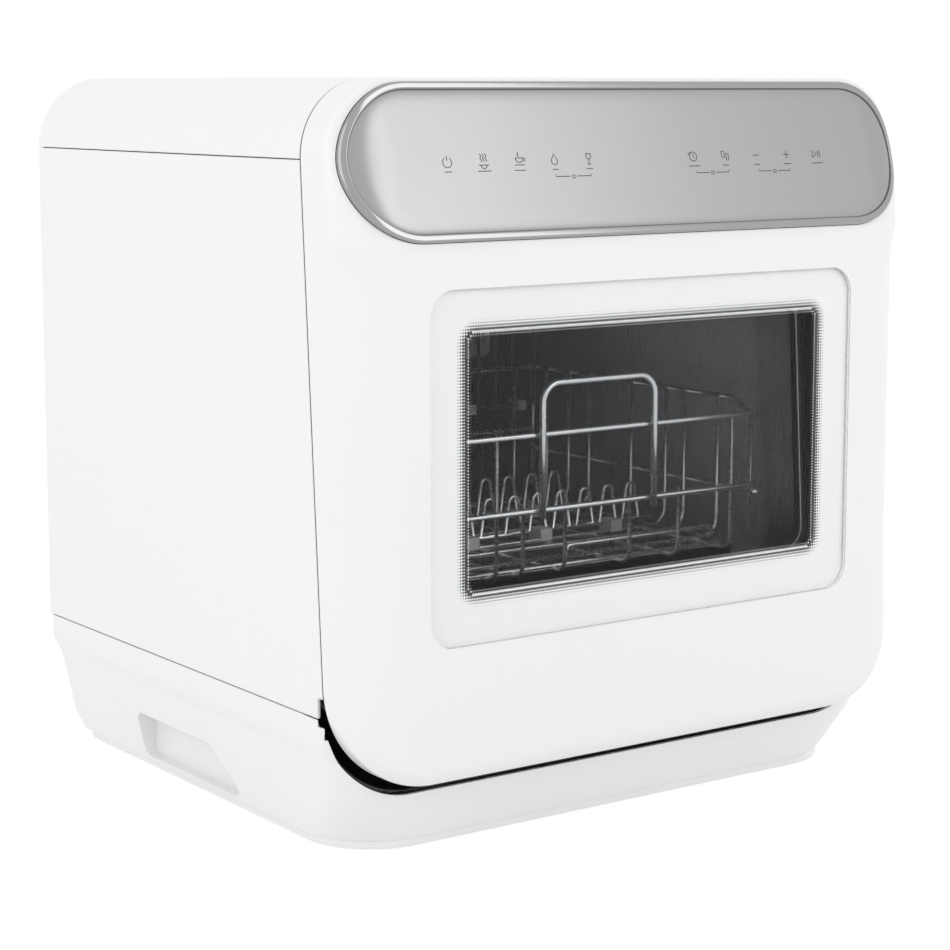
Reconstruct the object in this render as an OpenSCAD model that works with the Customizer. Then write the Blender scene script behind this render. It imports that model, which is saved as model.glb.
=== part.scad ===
// Countertop glass washer: a moulded cabinet on a tapered base, a bottom-hinged door with a
// window and an inclined control panel, and the tub, rack and water parts inside.
// Origin: on the floor, under the middle of the overall box. +Z up, front towards -Y.

/* [Cabinet] */
// Width over the two side panels
body_w = 420; // [410:5:450]
// Height from the floor to the top
body_h = 436; // [430:2:460]
// Depth from the door's face to the rear panel
body_d = 371.5; // [366:0.5:400]
// Radius of the two long top edges
top_r = 45; // [42:1:48]
// Height of the top cover, down to its seam
cover_h = 44; // [42:1:52]
// Wall of the plastic casing
case_t = 2.5; // [2.2:0.1:2.7]
// Gap between neighbouring casing panels
panel_gap = 0.5; // [0.4:0.1:0.8]
// Gap between the closed door and the cabinet
seam_gap = 1.4; // [1.2:0.1:1.8]

/* [Base] */
// Height of the seam between base and side panels
base_h = 84; // [82:1:86]
// How far each side of the base draws in, down to its foot
base_taper = 18; // [15:0.5:20]
// Corner radius of the base's foot, seen from above
foot_r = 47; // [40:1:56]
// Height of the lip under the base
lip_h = 4.8; // [4:0.2:6]
// Height of the rubber feet below the lip
foot_h = 0.8; // [0.6:0.1:3]
// Radius of each rubber foot
foot_pad_r = 13; // [10:1:16]
// Height of the hand grips' upper edge
grip_h = 37; // [33:1:39]
// Length of the hand grips' upper edge
grip_l = 94; // [70:1:100]
// Depth of the hand grips
grip_d = 14; // [10:1:18]

/* [Door] */
// Depth of the door at the top cover's seam
door_top_d = 46.5; // [44:0.5:50]
// Depth of the door at the base's seam
door_low_d = 27; // [26:0.5:29]
// Height of the door's lower edge
door_z0 = 42; // [41:0.5:44]
// Radius of the door's lower corners
door_low_r = 60; // [56:1:62]
// Height of the hinge axis
hinge_z = 88; // [87:0.5:90]
// Distance of the hinge axis behind the door's face
hinge_d = 28.9; // [28.5:0.1:30]
// Radius of the hinge pins
pin_r = 3; // [2.5:0.1:3.2]
// Wall of the door's shell
door_t = 2.6; // [2.2:0.1:3]

/* [Control panel] */
// Gap between the panel's upper edge and the body's top
panel_top_gap = 2.5; // [1:0.5:5]
// Backward tilt of the panel, in degrees
panel_tilt = 14.8; // [12:0.2:16]
// Gap between each end of the panel and the body's side
panel_end_gap = 5.5; // [5.5:0.5:20]
// Height of the panel, along its slope
panel_l = 89.5; // [82:0.5:90]
// Width of the panel's polished rim
rim_w = 4.5; // [3:0.5:6]
// How far the rim stands out of the door
rim_rise = 2.8; // [2:0.1:3.5]

/* [Window] */
// Gap between the outer pane and each side of the body
pane_side_gap = 53.4; // [51:0.2:65]
// Gap between the outer pane and the panel
pane_top_gap = 25.7; // [22:0.1:46]
// Height of the pane's lower edge
pane_z0 = 121.3; // [120:0.5:126]
// Corner radius of the outer pane
pane_r = 16; // [10:1:24]
// Thickness of the glass
glass_t = 3.2; // [2.6:0.2:3.6]
// Width of the pane's printed border at each side
print_w = 25.6; // [24.6:0.2:36]
// Height of the printed border above and below
print_h = 26; // [25:0.5:35]

/* [Tub] */
// Gap between the tub and the side panels' outer faces
tub_side_gap = 37.5; // [36:0.5:44]
// Height of the tub's floor
tub_z0 = 112; // [111:0.5:114]
// Gap between the tub's ceiling and the top
tub_top_gap = 40; // [39:0.5:46]
// Gap between the tub and the rear panel's outer face
tub_back_gap = 42; // [40:0.5:50]
// Wall of the steel tub
tub_t = 1.2; // [0.9:0.1:1.5]
// Corner radius of the tub
tub_r = 22; // [16:1:30]
// Width of the flange round the tub's mouth
flange_w = 11; // [9:0.5:12]

/* [Rack] */
// Gap between the rack and the tub's side walls
rack_side_gap = 40.5; // [38:0.5:44]
// Distance of the rack's front behind the door's face
rack_front = 54; // [53:0.5:58]
// Gap between the rack and the tub's back wall
rack_back_gap = 34.3; // [31:0.1:50]
// Height of the rack's floor wires
rack_z0 = 141; // [140.6:0.2:143]
// Height of the rack's front rail
rail_z = 227; // [220:1:230]
// Radius of the rack's rails
rail_r = 1.8; // [1.6:0.1:2]
// Radius of the rack's wires
wire_r = 1.35; // [1.25:0.05:1.5]
// Height of the rack's handle
handle_z = 258; // [250:1:262]
// Distance between the handle's legs
handle_w = 85; // [70:1:96]
// Height of the tines above their hinge bar
tine_h = 24.5; // [20:0.5:27]
// Gap between the rack's side and the front row's tines
tine_gap = 17.4; // [15:0.2:20]
// Number of tines in the front row
tine_n = 12; // [7:1:12]

/* [Water system] */
// Gap between the spray arm's tip and the rack's side
arm_gap = 14; // [12:0.5:30]
// Radius of the spray arm's post
post_r = 6; // [5:0.5:7]
// Radius of the filter cup
filter_r = 27; // [22:1:30]
// Radius of the inlet's threaded spout
inlet_r = 13.2; // [12:0.1:14]
// Radius of the drain spigot
drain_r = 9.5; // [8:0.1:11]
// Length of the fittings behind the rear panel
rear_reach = 18; // [16:0.5:24]
// Bore of the mains cable's gland
gland_r = 3.7; // [3.2:0.1:4.2]

/* [Hidden] */

$fn = 48;
fit = 0.4;                     // clearance between parts that only lie beside each other
run = 0.05;                    // radial clearance of a running fit
moving = 0.5;                  // clearance between bodies that move past each other
eps = 0.01;

half_w = body_w / 2;
panel_z0 = body_h - panel_top_gap - panel_l * cos(panel_tilt);
panel_w = body_w - 2 * panel_end_gap;
pane_w = body_w - 2 * pane_side_gap;
pane_h = panel_z0 - pane_top_gap - pane_z0;
view_w = pane_w - 2 * print_w;
view_h = pane_h - 2 * print_h;
reach = rim_rise * cos(panel_tilt);          // the panel's rim stands this far before the face
total_d = reach + body_d + rear_reach;
y_face = reach - total_d / 2;
y_back = y_face + body_d;
cover_z = body_h - cover_h;
lip_z = foot_h;
base_z0 = lip_z + lip_h;

// the seam between door and cabinet is a plane that leans forward going down
lean = (door_top_d - door_low_d) / (cover_z - base_h);
lean_a = atan(lean);
function seam_y(z) = y_face + door_low_d + lean * (z - base_h);
function up(z) = z / cos(lean_a);            // a height, measured along the seam plane
hinge_y = y_face + hinge_d;

// the door's lower edge: its roll, the circle it sweeps and what stays clear of that
low_roll_z = 12;
low_roll_y = 14;
swing_r = max([for (a = [0:3:90]) norm([
    hinge_d - low_roll_y * (1 - cos(a)), hinge_z - door_z0 - low_roll_z * (1 - sin(a))])]);
well_r = swing_r + 2.5;
chin_z = hinge_z - well_r + 0.5;   // the base's front ends a little above the trough behind it
edge_sweep_r = 15;             // the door's side edges sweep this circle inside the base's walls
well_t = 1.8;

tub_w = body_w - 2 * tub_side_gap;
tub_z1 = body_h - tub_top_gap;
tub_back = y_back - tub_back_gap;
flange_y = 5.2;                // the flange's front, behind the seam plane
tub_mid_y = (seam_y(tub_z0) + flange_y + tub_back) / 2;
function tidy(x) = round(x * 100) / 100;
rack_hw = tidy(tub_w / 2 - rack_side_gap);
arm_r = rack_hw - arm_gap;

function ease(u) = u <= 0 ? 0 : u >= 1 ? 1 : u * u * (3 - 2 * u);
function mix(a, b, u) = a + (b - a) * u;
// drop of an elliptical edge of width a and depth b, at t in from the edge
function roll(t, a, b) = t >= a ? 0 : b * (1 - sqrt(max(0, 1 - pow((a - max(t, 0)) / a, 2))));

// ---- shared shapes ----

// a YZ outline from x0 to x1
module yz(x0, x1) translate([x0, 0, 0]) rotate([90, 0, 90]) linear_extrude(x1 - x0) children();
// an XZ outline from y0 back to y1
module xz(y0, y1) translate([0, y1, 0]) rotate([90, 0, 0]) linear_extrude(y1 - y0) children();
// into the seam plane: x as before, y square to the plane and backwards, z up along it
module in_seam() translate([0, seam_y(0), 0]) rotate([-lean_a, 0, 0]) children();
// into the panel's slope: z up along it, y square to it
module in_panel() translate([0, y_face, panel_z0]) rotate([-panel_tilt, 0, 0]) children();
module mirrored() for (s = [-1, 1]) scale_x(s) children();
module scale_x(s) if (s < 0) mirror([1, 0, 0]) children(); else children();

module round_rect(w, z0, z1, r) hull() for (x = [-1, 1], z = [z0 + r, z1 - r])
    translate([x * (w / 2 - r), z]) circle(r);

// a closed solid through rings of equal length, lowest first, each counter-clockwise from above
module loft(rings) {
    n = len(rings[0]);
    m = len(rings);
    polyhedron(points = [for (r = rings) each r], faces = concat(
        [[for (i = [0:n - 1]) i]],
        [for (k = [0:m - 2], i = [0:n - 1])
            [k * n + i, (k + 1) * n + i, (k + 1) * n + (i + 1) % n, k * n + (i + 1) % n]],
        [[for (i = [n - 1:-1:0]) (m - 1) * n + i]]));
}

// the space behind the seam plane, shifted back by y0
module behind_seam(y0 = 0) yz(-body_w, body_w) polygon([
    [seam_y(-50) + y0, -50], [y_back + 100, -50], [y_back + 100, body_h + 50],
    [seam_y(body_h + 50) + y0, body_h + 50]]);

// the cabinet's front view, drawn in by t
module case_outline(t = 0) {
    r = top_r - t;
    hull() {
        for (x = [-1, 1]) translate([x * (half_w - t - r), body_h - t - r]) circle(r, $fn = 96);
        translate([-half_w + t, 0]) square([body_w - 2 * t, 1]);
    }
}

module case_shell(z0, z1) intersection() {
    xz(y_face, y_back) difference() {
        case_outline();
        case_outline(case_t);
    }
    behind_seam(seam_gap / 2);
    translate([-body_w, y_face, z0]) cube([2 * body_w, body_d + 1, z1 - z0]);
}

// a wire from a to b
module wire(a, b, r) {
    d = b - a;
    l = norm(d);
    translate(a) rotate([0, acos(d[2] / l), atan2(d[1], d[0])]) cylinder(h = l, r = r, $fn = 16);
}

function unit(v) = v / norm(v);

// a quarter of a ring, from direction u to direction v, that rounds the right angle at p
module bend(p, u, v, r, bend_r) {
    c = p + (v - u) * bend_r;
    n = cross(-v, u);
    multmatrix([for (k = [0:2]) [-v[k], u[k], n[k], c[k]]])
        rotate_extrude(angle = 90) translate([bend_r, 0]) circle(r, $fn = 16);
}

// one wire through points, all turns square, with a bend of radius bend_r at each
module bent_wire(pts, r, bend_r) {
    last = len(pts) - 1;
    dirs = [for (i = [0:last - 1]) unit(pts[i + 1] - pts[i])];
    for (i = [0:last - 1])
        wire(pts[i] + dirs[i] * (i == 0 ? 0 : bend_r),
            pts[i + 1] - dirs[i] * (i == last - 1 ? 0 : bend_r), r);
    for (i = [1:last - 1]) bend(pts[i], dirs[i - 1], dirs[i], r, bend_r);
}

// a ball where two slanting wires meet, a little thicker than they are
module knuckle(p, r) translate(p) sphere(r + 0.06, $fn = 16);

// ---- casing ----

module fill_place() translate([half_w - 88, y_back - 40, body_h]) children();
lid_w = 62;
lid_l = 52;
lid_t = 2.4;
bezel = 3;                     // width of the rim round the fill lid
module fill_block(grow, z0, h) translate([-lid_w / 2 - grow, -lid_l / 2 - grow, z0])
    cube([lid_w + 2 * grow, lid_l + 2 * grow, h]);

module top_cover() color("white") {
    difference() {
        case_shell(cover_z + panel_gap / 2, body_h + 1);
        fill_place() fill_block(moving + bezel + fit, -10, 20);
    }
}

// a slot in the panel's and the base's front edge, where the door's hinge turns
notch_z = [base_h - 4, hinge_z + 8];
module hinge_notch() translate([-body_w, y_face, notch_z[0]])
    cube([2 * body_w, hinge_y + 5 - y_face, notch_z[1] - notch_z[0]]);

module side_panel() difference() {
    case_shell(base_h + panel_gap / 2, cover_z - panel_gap / 2);
    translate([0, -body_d, 0]) cube([body_w, 2 * body_d, body_h]);
    hinge_notch();
}
module left_side_panel() color("white") side_panel();
module right_side_panel() color("white") mirror([1, 0, 0]) side_panel();

louvre_n = 9;
louvre_x = 95;
louvre_w = 56;
louvre_h = 4;
louvre_step = 12;
inlet_at = [half_w - 60, 46];
drain_at = [half_w - 110, 40];
gland_at = [-half_w + 60, 44];
rear_h0 = base_h + 1;

module rear_panel() color("whitesmoke") xz(y_back - case_t, y_back) difference() {
    intersection() {
        case_outline(case_t + fit);
        translate([-half_w, rear_h0]) square([body_w, body_h]);
    }
    for (s = [-1, 1], i = [0:louvre_n - 1])
        translate([s * louvre_x - louvre_w / 2, base_h + 66 + i * louvre_step])
            square([louvre_w, louvre_h]);
    for (s = [-1, 1], z = screw_zs) translate([s * screw_x, z]) circle(1.7);
}
screw_x = half_w - 14;
screw_zs = [base_h + 26, (base_h + body_h) / 2 - 10, body_h - 66];

module rear_screws() color("dimgray") {
    for (s = [-1, 1], z = screw_zs) translate([s * screw_x, y_back - 9, z]) rotate([-90, 0, 0]) {
        cylinder(h = 9, r = 1.6);
        translate([0, 0, 9]) cylinder(h = 1.8, r = 3.4);
    }
}

// ---- base ----

base_flare = 12;               // the base is upright for this far below its seam
function base_in(z) = z > base_h - base_flare ? 0 :
    5 * ease((base_h - base_flare - z) / 15)
    + (base_taper - 5) * max(0, base_h - base_flare - 9 - z) / (base_h - base_flare - 9 - base_z0);
function base_front(z) = z >= chin_z ? seam_y(z) + seam_gap / 2 :
    seam_y(chin_z) + seam_gap / 2 + (chin_z - z) * 0.26;
function base_rf(z) = 3 + (foot_r - 3) * pow((base_h - z) / (base_h - base_z0), 1.6);
function base_rr(z) = 5 + 10 * ease((16 - z) / 10);

arc_n = 8;
// a rounded rectangle seen from above, at height z
function plan_ring(hw, yf, yb, rf, rr, z) = [for (c = [
        [-hw + rf, yf + rf, rf, 180], [hw - rf, yf + rf, rf, 270],
        [hw - rr, yb - rr, rr, 0], [-hw + rr, yb - rr, rr, 90]], i = [0:arc_n])
    [c[0] + c[2] * cos(c[3] + 90 * i / arc_n), c[1] + c[2] * sin(c[3] + 90 * i / arc_n), z]];
function base_ring(z, t, zz) = plan_ring(half_w - base_in(z) - t, base_front(z) + t,
    y_back - t, max(0.5, base_rf(z) - t), base_rr(z) - t, zz);

base_zs = [base_z0, 14, 22, 30, chin_z, 46, 54, 61, 66, base_h - base_flare, base_h];

// front view of the opening in the base that the door's lower edge swings through
swing_arc_r = door_low_r - 3.5;
module swing_outline(grow = 0) hull() {
    for (s = [-1, 1]) translate([s * (half_w - swing_arc_r), chin_z + swing_arc_r])
        circle(swing_arc_r + grow, $fn = 96);
    translate([-half_w - grow, chin_z + swing_arc_r]) square([body_w + 2 * grow, 200]);
}

grip_y = y_back - 100;
grip_x = half_w - base_in(grip_h) - grip_d;     // the pocket's inner face
module grip_outline(t = 0) offset(r = 8 + t) offset(delta = -8) polygon([
    [grip_y, base_z0 + 2], [grip_y, grip_h], [grip_y - grip_l, grip_h],
    [grip_y - grip_l - 36, base_z0 + 2]]);

module base_tray() color("white") difference() {
    union() {
        difference() {
            loft([for (z = base_zs) base_ring(z, 0, z == base_h ? z - panel_gap / 2 : z)]);
            loft([for (z = base_zs) base_ring(z, case_t,
                z == base_z0 ? z + case_t : z == base_h ? z + 1 : z)]);
        }
        intersection() {
            mirrored() yz(grip_x - case_t, half_w) grip_outline(case_t);
            loft([for (z = base_zs) base_ring(z, eps, z)]);
        }
    }
    mirrored() yz(grip_x, half_w + 1) grip_outline();
    xz(y_face, hinge_y + 20) swing_outline();
    hinge_notch();
    mirrored() translate([half_w - case_t - 1, hinge_y - 4, hinge_z - edge_sweep_r])
        cube([2.3, edge_sweep_r + 3, edge_sweep_r]);
    translate([inlet_at[0], y_back - 30, inlet_at[1]]) rotate([-90, 0, 0])
        cylinder(h = 40, r = inlet_r + 1.5);
    translate([drain_at[0], y_back - 30, drain_at[1]]) rotate([-90, 0, 0])
        cylinder(h = 40, r = drain_r + 1.5);
    translate([gland_at[0], y_back - 30, gland_at[1]]) rotate([-90, 0, 0])
        cylinder(h = 40, r = gland_body_r + fit);
    for (p = foot_places) translate([p[0], p[1], 0]) cylinder(h = 20, r = 3.4);
}
gland_body_r = 7;

lip_in = base_taper + 1.4;
lip_front = base_front(base_z0) + 0.6;
module base_lip() color("white") difference() {
    loft([for (z = [lip_z, base_z0]) plan_ring(half_w - lip_in, lip_front,
        y_back - 1.5, foot_r - 2, 24, z)]);
    loft([for (z = [lip_z - 1, base_z0 + 1]) plan_ring(half_w - lip_in - 9, lip_front + 9,
        y_back - 10.5, foot_r - 11, 15, z)]);
}

foot_x = half_w - lip_in - 9 - foot_pad_r - 22;
foot_places = [for (x = [-1, 1], y = [lip_front + 52, y_back - 52]) [x * foot_x, y]];
module rubber_feet() color("dimgray") for (p = foot_places) translate([p[0], p[1], 0]) {
    cylinder(h = base_z0, r = foot_pad_r);
    cylinder(h = base_z0 + case_t + 3, r = 3.2);
}

// the trough behind the door's lower edge, and the rim round its corners, which keep the works
// dry where the door swings in
module door_well() color("dimgray") intersection() {
    loft([for (z = base_zs) base_ring(z, case_t + fit, z == base_z0 ? 0 : z)]);
    union() {
        yz(-half_w, half_w) difference() {
            translate([hinge_y, hinge_z]) circle(well_r + well_t, $fn = 120);
            translate([hinge_y, hinge_z]) circle(well_r, $fn = 120);
            translate([hinge_y - 100, hinge_z - 1]) square([200, 100]);
            translate([hinge_y - 200, -100]) square([200, 300]);
        }
        xz(y_face, hinge_y + 12) difference() {
            swing_outline(well_t);
            swing_outline();
            translate([-half_w, base_h - 2]) square([body_w, body_h]);
        }
    }
}

frame_y = flange_y + 2.2;      // the front frame's face, behind the seam plane
module front_frame() color("lightgray") in_seam() xz(frame_y, frame_y + 2) difference() {
    intersection() {
        case_outline(case_t + fit);
        translate([-half_w, up(hinge_z + 12)]) square([body_w, body_h]);
        translate([-half_w, 0]) square([body_w, up(body_h) - case_t - 3]);
    }
    round_rect(tub_w + 3 * fit, up(tub_z0) - 2 * fit, up(tub_z1) + 2 * fit, tub_r);
    mirrored() translate([bracket_x - fit, up(hinge_z)])
        square([bracket_t + 2 * fit, 40]);
    translate([-latch_w / 2 - fit, up(latch_z) - 9]) square([latch_w + 2 * fit, 18]);
}

// ---- tub ----

module tub_outline(t = 0) round_rect(tub_w - 2 * t, tub_z0 + t, tub_z1 - t, tub_r - t);
sump_r = filter_r + 9;
filter_at = [arm_r - sump_r - 18, tub_mid_y + 66];

module tub() color("silver") difference() {
    union() {
        intersection() {
            xz(y_face, tub_back) tub_outline();
            behind_seam(flange_y);
        }
        in_seam() xz(flange_y, flange_y + 1.2) round_rect(tub_w + 2 * flange_w,
            up(tub_z0) - flange_w, up(tub_z1) + flange_w, tub_r + flange_w);
    }
    xz(y_face - 10, tub_back - tub_t) tub_outline(tub_t);
    translate([filter_at[0], filter_at[1], tub_z0 - 1]) cylinder(h = 6, r = sump_r);
    translate([0, tub_mid_y, tub_z0 - 1]) cylinder(h = 6, r = 9);
}

module tub_gasket() color("dimgray") in_seam() xz(0.4 - seam_gap / 2, flange_y - 0.02) difference() {
    round_rect(tub_w + 2 * flange_w - 3, up(tub_z0) - flange_w + 1.5,
        up(tub_z1) + flange_w - 1.5, tub_r + flange_w - 1.5);
    round_rect(tub_w + 3, up(tub_z0) - 1.5, up(tub_z1) + 1.5, tub_r + 1.5);
}

rack_y0 = tidy(y_face + rack_front);
rack_y1 = tidy(tub_back - tub_t - rack_back_gap);
rack_d = rack_y1 - rack_y0;
floor_z = tub_z0 + tub_t;

// runners under the bends of the rack's hoops, just outside the spray arm's circle
module rack_rails() color("silver") mirrored()
    translate([runner_x, rack_y0 + 20, floor_z])
        cube([runner_w, rack_d - 40, runner_z - floor_z]);

// vent cover on the tub's back wall
vent_w = 84;
vent_h = 38;
vent_d = 6;
vent_x = tub_w / 2 - tub_t - 16;
vent_z = rail_z + 13;
module vent_cover() color("lightgray") difference() {
    xz(tub_back - tub_t - vent_d, tub_back - tub_t) translate([vent_x - vent_w, 0])
        round_rect(vent_w, vent_z, vent_z + vent_h, 6);
    for (i = [1:11]) translate([vent_x - vent_w + i * 7, tub_back - tub_t - vent_d - 1, vent_z + 9])
        cube([3, vent_d - 1, vent_h - 16]);
}

module tub_stand() color("gainsboro")
    for (x = [-1, 1] * (tub_w / 2 - 14), y = [hinge_y + well_r + 8, tub_back - 70])
        translate([x - 2, y, base_z0 + case_t]) cube([4, 44, tub_z0 - base_z0 - case_t]);

// ---- water system ----

tank_z0 = tub_z0 + 8;
module water_tank() color("lightblue") difference() {
    translate([-half_w + 40, tub_back + 2, tank_z0])
        cube([body_w - 80, tub_back_gap - case_t - 6, tub_z1 - tank_z0]);
    translate([-half_w + 42, tub_back + 4, tank_z0 + 2])
        cube([body_w - 84, tub_back_gap - case_t - 10, tub_z1 - tank_z0 - 4]);
    fill_place() translate([0, neck_y, -60]) cylinder(h = 60, r = neck_r);
}
neck_r = 11;
neck_y = 14;

lid_pin_r = 1;
lid_axis = [0, lid_l / 2 - lid_t / 2, -lid_t / 2];
module fill_funnel() color("whitesmoke") fill_place() difference() {
    union() {
        fill_block(moving + bezel, -16, 16);
        translate([0, neck_y, -tub_top_gap]) cylinder(h = tub_top_gap - 14, r = neck_r + 2);
    }
    fill_block(moving, -13.5, 20);
    translate([0, neck_y, -tub_top_gap - 1]) cylinder(h = 60, r = neck_r);
    translate([-lid_w / 2 - 2.5, lid_axis[1], lid_axis[2]]) rotate([0, 90, 0])
        cylinder(h = lid_w + 5, r = lid_pin_r + run);
}

module fill_lid() color("white") fill_place() {
    difference() {
        translate([-lid_w / 2, -lid_l / 2, -lid_t]) cube([lid_w, lid_l - lid_t / 2, lid_t]);
        translate([0, -lid_l / 2 - 4, -1.2]) cylinder(h = 3, r = 11);
    }
    translate(lid_axis - [lid_w / 2, 0, 0]) rotate([0, 90, 0]) cylinder(h = lid_w, r = lid_t / 2);
    translate(lid_axis - [lid_w / 2 + 2, 0, 0]) rotate([0, 90, 0])
        cylinder(h = lid_w + 4, r = lid_pin_r);
}

// fittings through the base's rear wall
module rear_fitting(p, r, out, back) translate([p[0], back, p[1]]) rotate([-90, 0, 0])
    cylinder(h = y_back + out - back, r = r);
collar_t = 4;
module rear_collar(p, r) translate([p[0], y_back + fit, p[1]]) rotate([-90, 0, 0])
    cylinder(h = collar_t - fit, r = r);
module inlet_valve() color("whitesmoke") difference() {
    union() {
        translate([inlet_at[0], y_back - case_t - 22, inlet_at[1]]) rotate([-90, 0, 0])
            cylinder(h = 22 - 0.4, r = inlet_r + 5);
        rear_fitting(inlet_at, inlet_r, rear_reach, y_back - case_t - 4);
        rear_collar(inlet_at, inlet_r + 3);
        translate([inlet_at[0] - 14, y_back - case_t - 48, inlet_at[1] - 12]) cube([28, 28, 30]);
    }
    rear_fitting(inlet_at, inlet_r - 3.7, rear_reach + 1, y_back - 20);
}
module drain_spigot() color("gray") difference() {
    union() {
        translate([drain_at[0], y_back - case_t - 12, drain_at[1]]) rotate([-90, 0, 0])
            cylinder(h = 12 - 0.4, r = drain_r + 5);
        rear_fitting(drain_at, drain_r, rear_reach - 1, y_back - case_t - 4);
        rear_collar(drain_at, drain_r + 3);
    }
    rear_fitting(drain_at, drain_r - 2.5, rear_reach + 1, y_back - 40);
}
module cable_gland() color("dimgray") difference() {
    union() {
        rear_fitting(gland_at, gland_body_r, collar_t, y_back - case_t - 14);
        rear_collar(gland_at, gland_body_r + 3);
    }
    rear_fitting(gland_at, gland_r, 40, y_back - 60);
}

sump_z = base_z0 + case_t + 24;
module sump() color("dimgray") translate([filter_at[0], filter_at[1], 0]) difference() {
    translate([0, 0, sump_z]) cylinder(h = tub_z0 - sump_z, r = sump_r + 5);
    translate([0, 0, sump_z + 3]) cylinder(h = tub_z0, r = sump_r);
}

volute_r = 33;
volute_l = 34;
motor_r = 26;
motor_l = 70;
pipe_r = 8;
pipe_l = 44;
pump_at = [filter_at[0] - sump_r - 48, tub_mid_y + 58, base_z0 + case_t + volute_r + 3];
module wash_pump() color("dimgray") translate(pump_at) {
    rotate([0, 90, 0]) cylinder(h = volute_l, r = volute_r);
    translate([-motor_l, 0, 0]) rotate([0, 90, 0]) cylinder(h = motor_l, r = motor_r);
    translate([-pump_at[0], 0, pipe_r]) rotate([90, 0, 0]) cylinder(h = pipe_l, r = pipe_r);
}
drain_l = 56;
drain_motor_r = 19;
module drain_pump() color("gray") translate([filter_at[0] + 2, filter_at[1] - sump_r - 14,
        base_z0 + case_t + drain_motor_r + 3]) {
    rotate([90, 0, 0]) cylinder(h = drain_l, r = drain_motor_r);
    translate([-22, -14, -17]) cube([44, 12, 34]);
}
heater_r = 15;
heater_l = 110;
module flow_heater() color("silver")
    translate([-half_w + 90, tub_mid_y - 20, base_z0 + heater_r + 11]) {
        rotate([0, 90, 0]) cylinder(h = heater_l, r = heater_r);
        for (x = [12, heater_l - 12]) translate([x, 0, 0]) cylinder(h = heater_r + 9, r = 5);
    }
module riser_pipe() color("dimgray") {
    translate([0, tub_mid_y, pump_at[2] + pipe_r]) {
        cylinder(h = floor_z - pump_at[2], r = pipe_r);
        sphere(pipe_r);
        rotate([-90, 0, 0]) cylinder(h = pump_at[1] - pipe_l - tub_mid_y, r = pipe_r);
    }
    translate([0, tub_mid_y, floor_z]) cylinder(h = 8, r = 15);
    translate([0, tub_mid_y, floor_z]) cylinder(h = 21, r = post_r);
}

arm_z = floor_z + 8.3;
module spray_arm() color("silver") translate([0, tub_mid_y, arm_z]) difference() {
    union() {
        cylinder(h = 9, r = 14);
        translate([0, 0, 1]) linear_extrude(7) hull() for (s = [-1, 1])
            translate([s * (arm_r - 12), 0]) circle(12);
    }
    translate([0, 0, -1]) cylinder(h = 20, r = post_r + run);
    for (s = [-1, 1], i = [0:4]) translate([s * (28 + 17 * i), s * (i % 2 == 0 ? 4 : -3), 5])
        cylinder(h = 6, r = 1.2, $fn = 16);
}
module arm_nut() color("gray") translate([0, tub_mid_y, arm_z + 9.4]) difference() {
    cylinder(h = 4.6, r = 10);
    translate([0, 0, -1]) cylinder(h = 20, r = post_r + 0.02);
}

module filter_plate() color("silver") translate([filter_at[0], filter_at[1], floor_z])
    difference() {
        cylinder(h = 1.2, r = sump_r + 8);
        translate([0, 0, -1]) cylinder(h = 4, r = filter_r + moving);
        for (ring = [0, 1], i = [0:23]) rotate(i * 15 + ring * 7.5)
            translate([filter_r + 5 + ring * 5, 0, -1]) cylinder(h = 4, r = 1.3, $fn = 8);
    }
module filter_cup() color("gainsboro") translate([filter_at[0], filter_at[1], 0]) difference() {
    union() {
        translate([0, 0, sump_z + 8]) cylinder(h = floor_z - sump_z - 8, r = filter_r);
        translate([-filter_r + 6, -2, floor_z - 2]) cube([2 * filter_r - 12, 4, 7]);
    }
    difference() {
        translate([0, 0, sump_z + 10]) cylinder(h = tub_z0, r = filter_r - 1.5);
        translate([-filter_r, -2, floor_z - 2]) cube([2 * filter_r, 4, 20]);
    }
}

module ceiling_sprayer() color("gray") translate([0, tub_mid_y, tub_z1 - tub_t]) mirror([0, 0, 1])
    difference() {
        union() {
            cylinder(h = 5, r = 22);
            cylinder(h = 12, r1 = 18, r2 = 9);
        }
        for (i = [0:5]) rotate(i * 60) translate([13, 0, 3]) cylinder(h = 12, r = 1.4, $fn = 16);
    }
fan_h = 22;
fan_r = 34;
fan_t = 4;
wheel_h = 14;
hub_r = 11;
axle_r = 3;
module in_fan() translate([-half_w + 70, tub_mid_y, tub_z1]) children();
module drying_fan() color("dimgray") in_fan() {
    difference() {
        cylinder(h = fan_h, r = fan_r);
        translate([0, 0, 2]) cylinder(h = fan_h, r = fan_r - fan_t);
    }
    cylinder(h = wheel_h + 5, r = axle_r);
}
module fan_wheel() color("gray") in_fan() translate([0, 0, 3]) difference() {
    union() {
        cylinder(h = wheel_h, r = hub_r);
        for (a = [0:45:359]) rotate(a) translate([hub_r - 1, -0.8, 0])
            cube([fan_r - fan_t - hub_r - 2, 1.6, wheel_h]);
    }
    translate([0, 0, -1]) cylinder(h = wheel_h + 2, r = axle_r + run);
}
box_size = [54, 45, 60];
box_t = 2;
module control_box() color("whitesmoke")
    translate([-half_w + 56, y_back - 58 - box_size[1], base_z0 + case_t]) difference() {
        cube(box_size);
        translate([box_t, box_t, box_t]) cube(box_size - [2 * box_t, 2 * box_t, 0]);
    }
float_at = [filter_at[0] + 46, hinge_y + well_r + 34, base_z0 + case_t];
module float_stem() color("whitesmoke") translate(float_at) {
    cylinder(h = 1.5, r = 16);
    cylinder(h = 26, r = 3);
    translate([0, 0, 22]) cylinder(h = 2, r = 6);
}
module overflow_float() color("orangered") translate(float_at + [0, 0, 2]) difference() {
    cylinder(h = 12, r = 14);
    translate([0, 0, -1]) cylinder(h = 20, r = 3 + run);
}

// ---- hinge ----

bracket_x = half_w - case_t - 10;
bracket_t = 3;
arm_x = bracket_x - 7;
arm_t = 5;

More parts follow.
